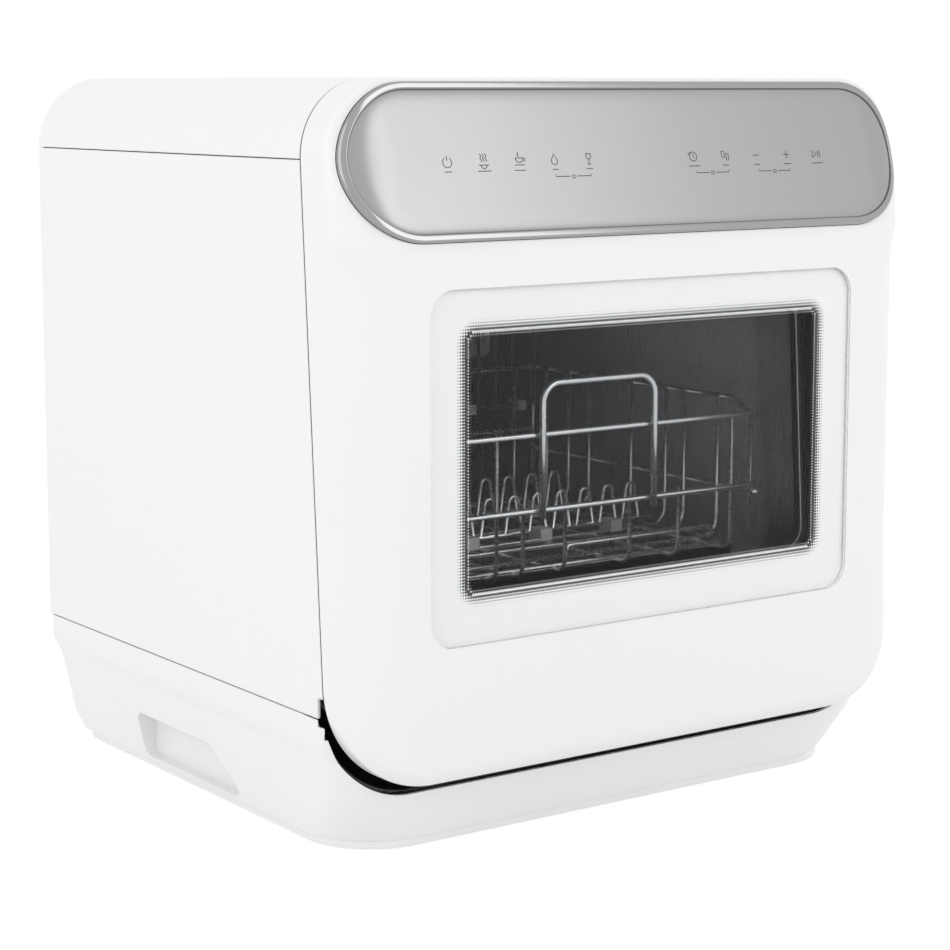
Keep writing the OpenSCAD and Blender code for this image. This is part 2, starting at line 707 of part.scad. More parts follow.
module hinge_bracket() difference() {
    union() {
        yz(bracket_x, bracket_x + bracket_t) hull() {
            translate([hinge_y, hinge_z]) circle(6);
            translate([hinge_y + 16, hinge_z + 9]) square([26, 25]);
        }
        translate([bracket_x, hinge_y + 30, hinge_z + 9])
            cube([half_w - case_t - fit / 2 - bracket_x, 12, 25]);
    }
    translate([0, hinge_y, hinge_z]) rotate([0, 90, 0]) cylinder(h = body_w, r = pin_r + run);
}
module hinge_bracket_left() color("gray") mirror([1, 0, 0]) hinge_bracket();
module hinge_bracket_right() color("gray") hinge_bracket();

module hinge_arm() {
    yz(arm_x, arm_x + arm_t) hull() {
        translate([hinge_y, hinge_z]) circle(5.5);
        translate([hinge_y - 14, hinge_z - 10]) square([6, 30]);
    }
    translate([arm_x + arm_t - eps, hinge_y, hinge_z]) rotate([0, 90, 0])
        cylinder(h = bracket_x + bracket_t - arm_x - arm_t + 1, r = pin_r);
}
module hinge_arm_left() color("gray") mirror([1, 0, 0]) hinge_arm();
module hinge_arm_right() color("gray") hinge_arm();

// ---- door ----

door_back = -seam_gap / 2;
function door_hw(z, t) = z < door_z0 + door_low_r ?
        half_w - door_low_r + sqrt(max(0, pow(door_low_r - t, 2) - pow(door_z0 + door_low_r - z, 2)))
    : z > body_h - top_r ?
        half_w - top_r + sqrt(max(0, pow(top_r - t, 2) - pow(z - body_h + top_r, 2)))
    : half_w - t;
// depth in from the outline along the lower edge and corners
function low_edge(x, z) = z > door_z0 + door_low_r ? 99 : x < half_w - door_low_r ? z - door_z0 :
    door_low_r - norm([x - half_w + door_low_r, z - door_z0 - door_low_r]);
function top_edge(x, z) = z < body_h - top_r ? 99 : x < half_w - top_r ? body_h - z :
    top_r - norm([x - half_w + top_r, z - body_h + top_r]);
function upper(z) = ease((z - panel_z0 + 30) / 60);
function side_roll(x, z) = roll(half_w - x, mix(54, 35, upper(z)),
    min(mix(27, 15.5, upper(z)), door_low_d + lean * (z - base_h) - 4));
function low_weight(z) = min(1, max(0, (door_z0 + door_low_r - z) / door_low_r));
// the front surface of the door
function door_front(x, z) = y_face + max(0, z - panel_z0) * tan(panel_tilt) + side_roll(abs(x), z)
    + roll(low_edge(abs(x), z), low_roll_z, low_roll_y * pow(low_weight(z), 2))
    + roll(top_edge(abs(x), z), 3, 2.5);

door_nx = 36;
function door_ring(z, t, back) = let (hw = door_hw(z, t)) concat(
    [[-hw, seam_y(z) + back, z]],
    [for (i = [0:door_nx]) let (x = -hw * cos(180 * i / door_nx)) [x, door_front(x, z) + t, z]],
    [[hw, seam_y(z) + back, z]]);
door_zs = concat(
    [for (a = [6, 14, 24, 36, 48, 60, 72, 82, 90]) door_z0 + door_low_r * (1 - cos(a))],
    [for (u = [0.13, 0.45, 0.82]) mix(door_z0 + door_low_r, panel_z0 - 28, u)],
    [for (d = [-28, -19, -10, 0, 12, 24, 36]) panel_z0 + d],
    [for (a = [3, 20, 36, 50, 62, 72, 80, 86]) body_h - top_r * (1 - sin(a))], [body_h - 0.03]);
cavity_zs = concat([for (a = [6, 20, 40, 60, 75, 90])
        door_z0 + door_t + (door_low_r - door_t) * (1 - cos(a))],
    [mix(door_z0 + door_low_r, panel_z0, 0.4)],
    [for (d = [-28, -13, 0, 20, 38]) panel_z0 + d],
    [for (a = [3, 30, 52, 68, 80]) body_h - door_t - (top_r - door_t) * (1 - sin(a))],
    [body_h - door_t - 0.1]);

module pane_outline(grow = 0)
    round_rect(pane_w + 2 * grow, pane_z0 - grow, pane_z0 + pane_h + grow, pane_r + grow);
ledge_y = y_face + 0.6 + glass_t + 0.4;
view_z0 = pane_z0 + print_h + 2;              // the view sits a little high in the pane

module door_shell() color("white") {
    difference() {
        loft([for (z = door_zs) door_ring(z, 0, door_back)]);
        loft([for (z = cavity_zs) door_ring(z, door_t, 5)]);
        xz(y_face - 5, y_face + door_t + 1) pane_outline(fit);
        in_panel() intersection() {
            panel_skin(-9, panel_seat + 0.1);
            xz(-20, 40) panel_outline(-0.3);
        }
    }
    xz(ledge_y, ledge_y + 2) difference() {
        pane_outline(3);
        round_rect(view_w + 22, view_z0 - 8, view_z0 + view_h + 8, 12);
    }
    xz(y_face + door_t - 0.5, ledge_y + 0.5) difference() {
        pane_outline(3);
        pane_outline(fit);
    }
}

module window_pane() color("gainsboro", 0.4)
    xz(y_face + 0.6, y_face + 0.6 + glass_t) pane_outline();
module window_mask() color("white") xz(ledge_y - 0.4, ledge_y - 0.05) difference() {
    pane_outline();
    round_rect(view_w, view_z0, view_z0 + view_h, 5);
}

// the liner closes the door's back; everything on it is placed in the seam plane
liner_t = 1;
liner_out = 4;
view_lift = view_z0 + 4;
module liner_outline(t) difference() {
    hull() for (s = [-1, 1]) {
        translate([s * (half_w - door_low_r), up(door_z0 + door_low_r)]) circle(door_low_r - t);
        translate([s * (half_w - top_r), up(body_h) - top_r]) circle(top_r - t);
    }
    mirrored() translate([arm_x - 2 * moving, up(hinge_z) - 12]) square([60, 26]);
}
inner_w = view_w + 18;
module inner_outline(grow) round_rect(inner_w + 2 * grow, up(view_z0) - 6 - grow,
    up(view_z0 + view_h) + 6 + grow, 16 + grow);

module door_liner() color("silver") in_seam() xz(door_back - liner_t, door_back) difference() {
    liner_outline(liner_out);
    inner_outline(0);
    translate([-8 - fit, up(latch_z) - 3 - fit]) square([16 + 2 * fit, 6 + 2 * fit]);
    translate([disp_x + disp_rim - fit, up(disp_z) + disp_rim - fit])
        square([disp_w - 2 * disp_rim + 2 * fit, disp_h - 2 * disp_rim + 2 * fit]);
    for (p = liner_screws) translate([p[0], up(p[1])]) circle(1.6);
}
liner_zs = [hinge_z + 52, (hinge_z + panel_z0 + 25) / 2, panel_z0 - 27];
liner_screws = [for (x = [-1, 1], z = liner_zs) [x * (half_w - 22), z]];
module door_screws() color("gray") in_seam() for (p = liner_screws)
    translate([p[0], door_back + 0.1, up(p[1])]) rotate([90, 0, 0]) {
        cylinder(h = 8, r = 1.5);
        cylinder(h = 0.1 - eps, r = 1.5);
    }

seal_d = 3;
module window_seal() color("dimgray") in_seam()
    xz(door_back - liner_t - seal_d, door_back - liner_t) difference() {
        inner_outline(7);
        inner_outline(-1);
    }
module inner_pane() color("gainsboro", 0.4) in_seam()
    xz(door_back - liner_t - seal_d - glass_t, door_back - liner_t - seal_d) inner_outline(6);

// ---- control panel ----

panel_seat = 1.2;              // how deep the panel sits in the door
// the panel's skin, from depth a to depth b square to its slope, falling away at both ends
module panel_skin(a, b) {
    n = 14;
    pts = [for (i = [-n:n]) let (u = i / n, x = half_w * sign(u) * (1 - pow(1 - abs(u), 1.6)))
        [x, roll(half_w - abs(x), 35, 15.5) * cos(panel_tilt)]];
    translate([0, 0, -8]) linear_extrude(panel_l + 16) polygon(concat(
        [for (p = pts) p + [0, a]], [for (i = [len(pts) - 1:-1:0]) pts[i] + [0, b]]));
}
module panel_outline(t) {
    r = panel_l / 2 - t;
    hull() for (s = [-1, 1]) translate([s * (panel_w / 2 - t - r), panel_l / 2])
        circle(r, $fn = 96);
}
module panel_rim() color("gray") in_panel() intersection() {
    panel_skin(-rim_rise, panel_seat);
    xz(-20, 40) difference() {
        panel_outline(0);
        panel_outline(rim_w);
    }
}
module panel_face() color("silver") in_panel() intersection() {
    panel_skin(-rim_rise + 0.4, panel_seat);
    xz(-20, 40) panel_outline(rim_w);
}
board_end = 54.5;              // from the panel's end to the board's
board_edge = 20;
module panel_board() color("green") in_panel()
    translate([-panel_w / 2 + board_end, door_t + 6, board_edge])
        cube([panel_w - 2 * board_end, 1.6, panel_l - 2 * board_edge - 3.5]);

// ---- latch and dispenser ----

latch_z = tub_z1 + flange_w + 9;
latch_w = 26;
module latch_tongue() color("whitesmoke") in_seam() difference() {
    translate([-8, door_back - 6, up(latch_z) - 3]) cube([16, 20, 6]);
    translate([-9, 8, up(latch_z) + 1]) cube([18, 3, 4]);
}
module latch_housing() color("dimgray") in_seam() difference() {
    translate([-latch_w / 2, 1.2, up(latch_z) - 8]) cube([latch_w, 24, 16]);
    translate([-9.2, 0, up(latch_z) - 5.2]) cube([18.4, 19, 10.4]);
}

disp_x = -62;
disp_z = view_z0 + view_h + 24;
disp_w = 84;
disp_h = 46;
disp_rim = 4;
disp_wall = 2;
disp_pin = [2.4, 1.8];         // the lid's pin, behind the liner and above the lid's place
module in_disp() in_seam() translate([disp_x, door_back, up(disp_z)]) children();
module disp_block(t, y0, y1) translate([t, y0, t]) cube([disp_w - 2 * t, y1 - y0, disp_h - 2 * t]);
module disp_bar(over, r) translate([-over, disp_pin[0], disp_pin[1]]) rotate([0, 90, 0])
    cylinder(h = disp_w + 2 * over, r = r);
module dispenser_body() color("whitesmoke") in_disp() difference() {
    union() {
        disp_block(disp_rim, -14, 1);
        disp_block(-disp_rim, 0.02, disp_pin[0] + 1);
    }
    disp_block(disp_rim + disp_wall, -12, 5);
    disp_block(0, disp_pin[0] - 1.4, 5);
    disp_bar(2.6, 0.9 + run);
}
module dispenser_lid() color("gainsboro") in_disp() {
    difference() {
        translate([moving, disp_pin[0] - 1, disp_pin[1]])
            cube([disp_w - 2 * moving, 2, disp_h - disp_pin[1] - moving]);
        translate([disp_w / 2, disp_pin[0] + 7.6, disp_h - 13]) sphere(8.5);
    }
    disp_bar(-moving, 1);
    disp_bar(2, 0.9);
}

// ---- rack ----

// the upright wires of the front fence, as shares of the rack's half width, and which are tall
wire_at = [-0.83, -0.54, -0.394, -0.156, 0.221, 0.515, 0.84];
tall = [1, 1, 0, 0, 0, 0, 1];
function wire_x(i) = tidy(wire_at[i] * rack_hw);
weld = 0.4;                                     // how far two welded wires sink into each other
rail2_r = wire_r + 0.2;
rail_x = rack_hw - rail_r;
front_y = rack_y0 + rail_r;
rear_y = rack_y1 - rail_r;
hoop_x = rail_x - rail_r - wire_r + weld;
hoop_z = rack_z0 + 2 * wire_r - weld + 0.1;     // the hoops lie on the floor wires
hoop_bend = 12;
runner_w = 6;
runner_x = arm_r + 1.5;
runner_z = hoop_z + hoop_bend - 0.3
    - sqrt(pow(hoop_bend + wire_r, 2) - pow(runner_x - hoop_x + hoop_bend, 2));
function along_rack(u) = rack_y0 + tidy(u * rack_d);
row_ys = [along_rack(0.4042), along_rack(0.6792)];       // the two rows of tines
grab_y = 8;                                     // from a row to the hoop that carries it
hoop_ys = [along_rack(0.1542), along_rack(0.2917), row_ys[0] - grab_y, along_rack(0.5208),
    row_ys[1] + grab_y, along_rack(0.8083), along_rack(0.9125)];
side_rail_z = rail_z + 7;
mid_z = rail_z - 45.5;
side_mid_z = mid_z - 5.5;
rear_mid_z = mid_z + 8.5;
floor_bend = 9;
fence_y = front_y + rail_r + wire_r - weld;     // the upright wires stand behind the rails
rear_wire_y = rear_y - rail_r - wire_r + weld;

module floor_wire(x, front_z) bent_wire([
    [x, fence_y, front_z],
    [x, fence_y, rack_z0],
    [x, rear_wire_y, rack_z0],
    [x, rear_wire_y, side_rail_z + 2]], wire_r, floor_bend);

module hoop(y) bent_wire([
    [-hoop_x, y, side_rail_z + 2], [-hoop_x, y, hoop_z],
    [hoop_x, y, hoop_z], [hoop_x, y, side_rail_z + 2]], wire_r, hoop_bend);

// the top rail goes round, and drops just behind its front corners
module top_rail() {
    step_y = [front_y + 10, front_y + 22];
    bend_r = 8;
    bent_wire([[-rail_x, step_y[0], rail_z], [-rail_x, front_y, rail_z],
        [rail_x, front_y, rail_z], [rail_x, step_y[0], rail_z]], rail_r, bend_r);
    bent_wire([[-rail_x, step_y[1], side_rail_z], [-rail_x, rear_y, side_rail_z],
        [rail_x, rear_y, side_rail_z], [rail_x, step_y[1], side_rail_z]], rail_r, bend_r);
    for (x = [-rail_x, rail_x]) {
        ends = [[x, step_y[0], rail_z], [x, step_y[1], side_rail_z]];
        wire(ends[0], ends[1], rail_r);
        for (p = ends) knuckle(p, rail_r);
    }
}

module corner_posts() mirrored() {
    x = rail_x - 2 * rail_r + weld;
    post_z = rack_z0 + 9;
    y0 = front_y + 2 * rail_r - weld;
    y1 = rear_y - 2 * rail_r + weld;
    wire([x, y0, post_z], [x, y0, rail_z + 2], rail_r - 0.2);
    wire([x, y1, post_z], [x, y1, side_rail_z + 2], rail_r - 0.2);
}

// a staple on the first hoop that keeps plates off the front fence
module plate_stop() {
    y = hoop_ys[0] - wire_r - rail2_r + weld;
    z = hoop_z + 7;
    bent_wire([[3, y, rack_z0 - 1], [3, y, z], [hoop_x - 6, y, z], [hoop_x - 6, y, hoop_z - 0.5]],
        rail2_r, 4);
}

module rack_frame() color("silver") {
    for (i = [0:len(wire_at) - 1]) floor_wire(wire_x(i), tall[i] ? rail_z + 4.5 : mid_z + 3);
    for (y = hoop_ys) hoop(y);
    top_rail();
    corner_posts();
    plate_stop();
    out_x = rail_x + 1;
    wire([-out_x, front_y, mid_z], [out_x, front_y, mid_z], rail_r);
    wire([-out_x, rear_y, rear_mid_z], [out_x, rear_y, rear_mid_z], rail_r);
    mirrored() wire([rail_x, front_y, side_mid_z], [rail_x, rear_y + 1, side_mid_z], rail_r);
    cross_z = rack_z0 + wire_r + rail2_r - weld;
    for (y = [fence_y + floor_bend + 2, rack_y1 - 14])
        wire([wire_x(0) - 2, y, cross_z], [wire_x(6) + 2, y, cross_z], rail2_r);
}

module rack_handle() color("silver") {
    r = 2.1;
    a = handle_w / 2;
    y = rack_y0 - r - 0.1;
    low_z = mid_z - 4.5;
    bent_wire([
        [-a, y, low_z], [-a, y, handle_z], [a, y, handle_z], [a, y, low_z]], r, 12);
}

bar_r = 1.5;
bar_z = hoop_z + wire_r + bar_r + 1.1;
bar_x = hoop_x - 6;
tine_r = 1.2;
tine_step = 2 * (rack_hw - tine_gap) / tine_n;
tine_w = tidy(0.3665 * tine_step);              // half width of a tine at its foot
tine_top_r = 3.6;
row_ns = [tine_n, tine_n - 1];
row_xs = [-0.5, -4];                            // middle of each row
function tine_x(k, i) = row_xs[k] + (i - (row_ns[k] - 1) / 2) * tine_step;

// one tine: two legs that lean together under a round top
module tine() {
    z = tine_h - tine_top_r;
    for (s = [-1, 1]) {
        wire([s * tine_w, 0, 0], [s * tine_top_r, 0, z], tine_r);
        knuckle([s * tine_top_r, 0, z], tine_r);
    }
    translate([0, 0, z]) rotate([90, 0, 0]) rotate_extrude(angle = 180)
        translate([tine_top_r, 0]) circle(tine_r, $fn = 16);
}

// a folding row: a bar along X with its tines
module tine_row(k) color("silver") {
    wire([-bar_x, row_ys[k], bar_z], [bar_x, row_ys[k], bar_z], bar_r);
    for (i = [0:row_ns[k] - 1]) translate([tine_x(k, i), row_ys[k], bar_z]) tine();
}

module tine_row_front() tine_row(0);
module tine_row_rear() tine_row(1);

// wire shelf for cups, folded up against the rear fence
shelf_l = 58;
shelf_y = rear_wire_y - 7;
shelf_z = rail_z - 18;
shelf_r = 1.4;
clip_xs = [wire_x(5), wire_x(6)];
shelf_step = (clip_xs[1] - clip_xs[0]) / 3;
shelf_w = 7.35 * shelf_step;
shelf_x0 = clip_xs[0] - 3.5 * shelf_step;        // each clip stands between two wires
module cup_shelf() color("dimgray") translate([shelf_x0, shelf_y, shelf_z]) {
    bent_wire([
        [shelf_w / 2, 0, shelf_l], [shelf_w, 0, shelf_l], [shelf_w, 0, 0],
        [0, 0, 0], [0, 0, shelf_l], [shelf_w / 2, 0, shelf_l]], shelf_r, 6);
    for (i = [1:6]) wire([i * shelf_step, 0, 0], [i * shelf_step, 0, shelf_l], 1.1);
}

// clips that hold the shelf's bar on the rear fence
module shelf_clips() {
    w = 6;
    for (x = clip_xs) translate([x - w / 2, 0, shelf_z]) difference() {
        translate([0, shelf_y - 3.4, -3.4]) cube([w, rear_wire_y + 2 - shelf_y + 3.4, 6.8]);
        translate([-1, shelf_y, 0]) rotate([0, 90, 0]) cylinder(h = w + 2, r = shelf_r + run);
        translate([w / 2, rear_wire_y, -10]) cylinder(h = 20, r = wire_r + 0.02);
    }
}

// clips that hold a row's bar on the hoop beside it, each between the legs of one tine
module row_clips(k) {
    w = 2 * (tine_w - tine_r - 1.2);
    side = k == 0 ? -1 : 1;
    for (i = [1, 4, row_ns[k] - 5, row_ns[k] - 2])
        translate([tine_x(k, i) - w / 2, row_ys[k], 0]) difference() {
            translate([0, min(-3.2, side * (grab_y + 1.8)), hoop_z - 0.8])
                cube([w, 3.2 + grab_y + 1.8, bar_z + 3 - hoop_z + 0.8]);
            translate([-1, 0, bar_z]) rotate([0, 90, 0]) cylinder(h = w + 2, r = bar_r + run);
            translate([-1, side * grab_y, hoop_z]) rotate([0, 90, 0])
                cylinder(h = w + 2, r = wire_r + 0.02);
        }
}

module rack_clips() color("gainsboro") {
    shelf_clips();
    for (k = [0, 1]) row_clips(k);
}

top_cover();
left_side_panel();
right_side_panel();
rear_panel();
base_tray();
base_lip();
rubber_feet();
door_well();
front_frame();
tub();
tub_gasket();
rack_rails();
tub_stand();
vent_cover();
water_tank();
fill_funnel();
inlet_valve();
drain_spigot();
cable_gland();
sump();
wash_pump();
drain_pump();
flow_heater();
riser_pipe();
filter_plate();
ceiling_sprayer();
drying_fan();
fan_wheel();
control_box();
float_stem();
overflow_float();
hinge_bracket_left();
hinge_bracket_right();
latch_housing();
rear_screws();
door_shell();
door_liner();
window_pane();
window_mask();
inner_pane();
window_seal();
panel_rim();
panel_face();
panel_board();
hinge_arm_left();
hinge_arm_right();
latch_tongue();
dispenser_body();
door_screws();
rack_frame();
rack_handle();
rack_clips();
cup_shelf();
tine_row_front();
tine_row_rear();
spray_arm();
arm_nut();
dispenser_lid();
filter_cup();
fill_lid();
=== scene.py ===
"""Looks of a compact countertop glass washer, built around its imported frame.

Sizes are millimetres in the script and metres in Blender. The frame gives every place; the
classes below hold the sizes of one sub-assembly each and build and dress its meshes.
"""

import logging
import math
from dataclasses import dataclass
from enum import Enum
from typing import Callable, Sequence

import bmesh
import bpy
from mathutils import Matrix, Vector


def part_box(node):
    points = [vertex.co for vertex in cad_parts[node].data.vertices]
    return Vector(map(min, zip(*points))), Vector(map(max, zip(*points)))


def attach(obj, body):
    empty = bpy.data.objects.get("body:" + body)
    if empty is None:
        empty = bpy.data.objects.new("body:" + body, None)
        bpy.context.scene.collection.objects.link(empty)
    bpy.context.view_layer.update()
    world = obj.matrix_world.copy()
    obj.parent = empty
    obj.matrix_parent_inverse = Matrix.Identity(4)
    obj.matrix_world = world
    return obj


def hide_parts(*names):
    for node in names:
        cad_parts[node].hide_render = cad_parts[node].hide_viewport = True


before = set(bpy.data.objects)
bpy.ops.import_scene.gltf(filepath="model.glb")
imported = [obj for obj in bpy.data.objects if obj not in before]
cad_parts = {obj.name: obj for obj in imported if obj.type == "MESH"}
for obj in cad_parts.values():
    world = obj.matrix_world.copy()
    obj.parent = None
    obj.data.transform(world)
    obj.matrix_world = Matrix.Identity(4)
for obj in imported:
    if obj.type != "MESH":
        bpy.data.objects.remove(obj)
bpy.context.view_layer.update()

MM = 0.001
HALF_GAP = 0.3      # half of the gap that the solids leave between two casing pieces
SHARP = 32.0        # edges that turn by more degrees than this stay sharp on a made mesh
COPY_SHARP = 34.0   # the same on a copied solid
Point = tuple[float, float, float]
Flat = tuple[float, float]
Color = tuple[float, float, float]
Nodes = bpy.types.NodeTree
Node = bpy.types.Node
Socket = bpy.types.NodeSocket
Obj = bpy.types.Object
Place = Callable[[float, float, float], Point]

log = logging.getLogger("glass_washer")


# ---- places taken from the frame ----


def corner(node: str, side: int, axis: int) -> float:
    """Read one coordinate of a frame node's box.

    Args:
        node: name of the node.
        side: 0 for the lowest corner, 1 for the highest.
        axis: 0, 1 or 2 for x, y or z.

    Returns:
        The coordinate in millimetres.
    """
    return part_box(node)[side][axis] / MM


@dataclass(frozen=True)
class Body:
    """The casing's shape: the sizes that all the outer pieces share."""

    half_w: float = -corner("left_side_panel", 0, 0)
    y_face: float = corner("door_shell", 0, 1)
    y_back: float = corner("rear_panel", 1, 1)
    height: float = corner("top_cover", 1, 2)
    cover_z: float = corner("top_cover", 0, 2) - HALF_GAP
    base_h: float = corner("base_tray", 1, 2) + HALF_GAP
    base_z0: float = corner("base_tray", 0, 2)
    top_r: float = 45.0
    wall: float = 2.5
    seam_gap: float = 1.4
    door_top_d: float = 46.5
    door_low_d: float = 27.0
    panel_l: float = 89.5
    panel_tilt: float = math.radians(14.8)
    panel_top_gap: float = 2.5
    pane_z0: float = 121.3
    pane_top_gap: float = 25.7
    crown_roll: Flat = (35.0, 15.5)
    notch_d: float = 33.9
    notch_z: Flat = (80.0, 96.0)

    @property
    def lean(self) -> float:
        """Lean of the seam plane between door and cabinet."""
        return (self.door_top_d - self.door_low_d) / (self.cover_z - self.base_h)

    @property
    def lean_a(self) -> float:
        """The same lean as an angle in radians."""
        return math.atan(self.lean)

    @property
    def panel_z0(self) -> float:
        """Height of the control panel's lower end."""
        return self.height - self.panel_top_gap - self.panel_l * math.cos(self.panel_tilt)

    @property
    def pane_h(self) -> float:
        """Height of the outer pane."""
        return self.panel_z0 - self.pane_top_gap - self.pane_z0

    def seam_y(self, z: float) -> float:
        """Place of the seam plane at height z."""
        return self.y_face + self.door_low_d + self.lean * (z - self.base_h)

    def in_seam(self, p: Point) -> Point:
        """Turn a point of the seam plane's own frame into the shared frame."""
        x, y, z = p
        c, s = math.cos(self.lean_a), math.sin(self.lean_a)
        return (x, self.seam_y(0) + y * c + z * s, z * c - y * s)

    def up(self, z: float) -> float:
        """A height, measured along the seam plane."""
        return z / math.cos(self.lean_a)

    def hinge_notch(self) -> Obj:
        """The block that the casing loses to the hinge arms."""
        outline = rect(self.y_face, self.y_face + self.notch_d, *self.notch_z)
        return prism("notch", outline, -300, 300, in_yz)


BODY = Body()


def ease(u: float) -> float:
    """Smooth step from 0 to 1."""
    u = min(1.0, max(0.0, u))
    return u * u * (3 - 2 * u)


def mix(a: float, b: float, u: float) -> float:
    """Blend a into b by u."""
    return a + (b - a) * u


def roll(t: float, a: float, b: float) -> float:
    """Drop of an elliptical edge of width a and depth b, at t in from the edge."""
    if t >= a:
        return 0.0
    return b * (1 - math.sqrt(max(0.0, 1 - ((a - max(t, 0.0)) / a) ** 2)))


def arc(cx: float, cy: float, r: float, a0: float, a1: float, n: int) -> list[Flat]:
    """Points along a flat arc, ends included, angles in degrees."""
    angles = [math.radians(mix(a0, a1, i / n)) for i in range(n + 1)]
    return [(cx + r * math.cos(a), cy + r * math.sin(a)) for a in angles]


def rect(x0: float, x1: float, z0: float, z1: float) -> list[Flat]:
    """Outline of a plain rectangle, counter-clockwise."""
    return [(x0, z0), (x1, z0), (x1, z1), (x0, z1)]


def round_rect(w: float, z0: float, z1: float, r: float, n: int = 16) -> list[Flat]:
    """Outline of a rounded rectangle centred on x = 0, counter-clockwise."""
    x = w / 2 - r
    return (arc(x, z0 + r, r, -90, 0, n) + arc(x, z1 - r, r, 0, 90, n)
            + arc(-x, z1 - r, r, 90, 180, n) + arc(-x, z0 + r, r, 180, 270, n))


def round_corners(points: Sequence[Flat], r: float, n: int = 6) -> list[Flat]:
    """Round every corner of a polygon.

    Args:
        points: the polygon's corners.
        r: radius of the rounding.
        n: segments of each rounded corner.

    Returns:
        The rounded outline.
    """
    out: list[Flat] = []
    for i, p in enumerate(points):
        a = Vector(points[i - 1]) - Vector(p)
        b = Vector(points[(i + 1) % len(points)]) - Vector(p)
        half = a.angle(b) / 2
        trim = min(r / math.tan(half), a.length / 2, b.length / 2)
        start, end = Vector(p) + a.normalized() * trim, Vector(p) + b.normalized() * trim
        for k in range(n + 1):
            u = k / n
            q = start * (1 - u) ** 2 + Vector(p) * 2 * u * (1 - u) + end * u * u
            out.append((q.x, q.y))
    return out


# ---- finishes ----


class Grain(Enum):
    """Direction in which a finish's fine grain runs."""

    EVEN = (1.0, 1.0, 1.0)
    ALONG_Z = (1.0, 1.0, 0.04)


def feed(tree: Nodes, node: Node, inputs: dict[object, object]) -> None:
    """Feed a node's inputs.

    Args:
        tree: the node's tree.
        node: the node.
        inputs: for each input, by name or index, a socket to join or a plain value.
    """
    for key, source in inputs.items():
        if isinstance(source, Socket):
            tree.links.new(source, node.inputs[key])
        else:
            node.inputs[key].default_value = source


def add_node(tree: Nodes, kind: str, inputs: dict[object, object] | None = None,
             **values: object) -> Node:
    """Add a node, set its properties and feed its inputs.

    Args:
        tree: the node tree.
        kind: the node's type.
        inputs: as for feed.
        values: the node's properties.

    Returns:
        The node.
    """
    node = tree.nodes.new(kind)
    for key, value in values.items():
        setattr(node, key, value)
    feed(tree, node, inputs or {})
    return node


def blank_material(name: str) -> tuple[bpy.types.Material, Nodes, Node]:
    """Make a material; give it with its tree and its surface shader."""
    mat = bpy.data.materials.new(name)
    mat.use_nodes = True
    return mat, mat.node_tree, mat.node_tree.nodes["Principled BSDF"]


@dataclass(frozen=True)
class Finish:
    """One surface finish: a Principled surface with grain, wear and relief from noise.

    Attributes:
        name: the material's name.
        slot: the record's material slot that it usually fills.
        color: base colour, linear.
        roughness: mean roughness.
        metallic: 0 for plastics and paints, 1 for bare metal.
        coat: weight of a clear gloss coat.
        grain_mm: size of the fine grain.
        relief: depth of the fine grain, in millimetres.
        spread: how much the grain changes the roughness.
        tint: how much slow clouding changes the colour.
        cloud_mm: size of the clouding.
        grain: direction of the grain.
    """

    name: str
    slot: str
    color: Color
    roughness: float
    metallic: float = 0.0
    coat: float = 0.0
    grain_mm: float = 0.8
    relief: float = 0.004
    spread: float = 0.06
    tint: float = 0.03
    cloud_mm: float = 60.0
    grain: Grain = Grain.EVEN

    def material(self) -> bpy.types.Material:
        """Build the material, or give the one already built.

        Returns:
            The Blender material.
        """
        found = bpy.data.materials.get(self.name)
        if found:
            return found
        mat, tree, shader = blank_material(self.name)
        feed(tree, shader, {"Metallic": self.metallic, "Coat Weight": self.coat,
                            "Coat Roughness": 0.12})
        place = add_node(tree, "ShaderNodeTexCoord").outputs["Object"]
        self._clouds(tree, place, shader)
        self._grain(tree, place, shader)
        return mat

    def _clouds(self, tree: Nodes, place: Socket, shader: Node) -> None:
        """Slow changes of the colour, as handling and light leave on a real surface."""
        noise = add_node(tree, "ShaderNodeTexNoise", {
            "Vector": place, "Scale": 1 / (self.cloud_mm * MM), "Detail": 3})
        dark, light = ([min(1.0, c * (1 + way * self.tint)) for c in self.color]
                       for way in (-1, 1))
        blend = add_node(tree, "ShaderNodeMix", {
            "Factor": noise.outputs["Fac"], "A": (*dark, 1), "B": (*light, 1)}, data_type="RGBA")
        feed(tree, shader, {"Base Color": blend.outputs["Result"]})

    def _grain(self, tree: Nodes, place: Socket, shader: Node) -> None:
        """Fine grain in the roughness and the relief."""
        stretch = add_node(tree, "ShaderNodeMapping", {"Vector": place, "Scale": self.grain.value})
        noise = add_node(tree, "ShaderNodeTexNoise", {
            "Vector": stretch.outputs["Vector"], "Scale": 1 / (self.grain_mm * MM), "Detail": 2})
        spread = add_node(tree, "ShaderNodeMapRange", {
            "Value": noise.outputs["Fac"], "To Min": max(0.02, self.roughness - self.spread),
            "To Max": self.roughness + self.spread})
        bump = add_node(tree, "ShaderNodeBump", {
            "Height": noise.outputs["Fac"], "Distance": self.relief * MM})
        feed(tree, shader, {"Roughness": spread.outputs["Result"],
                            "Normal": bump.outputs["Normal"]})


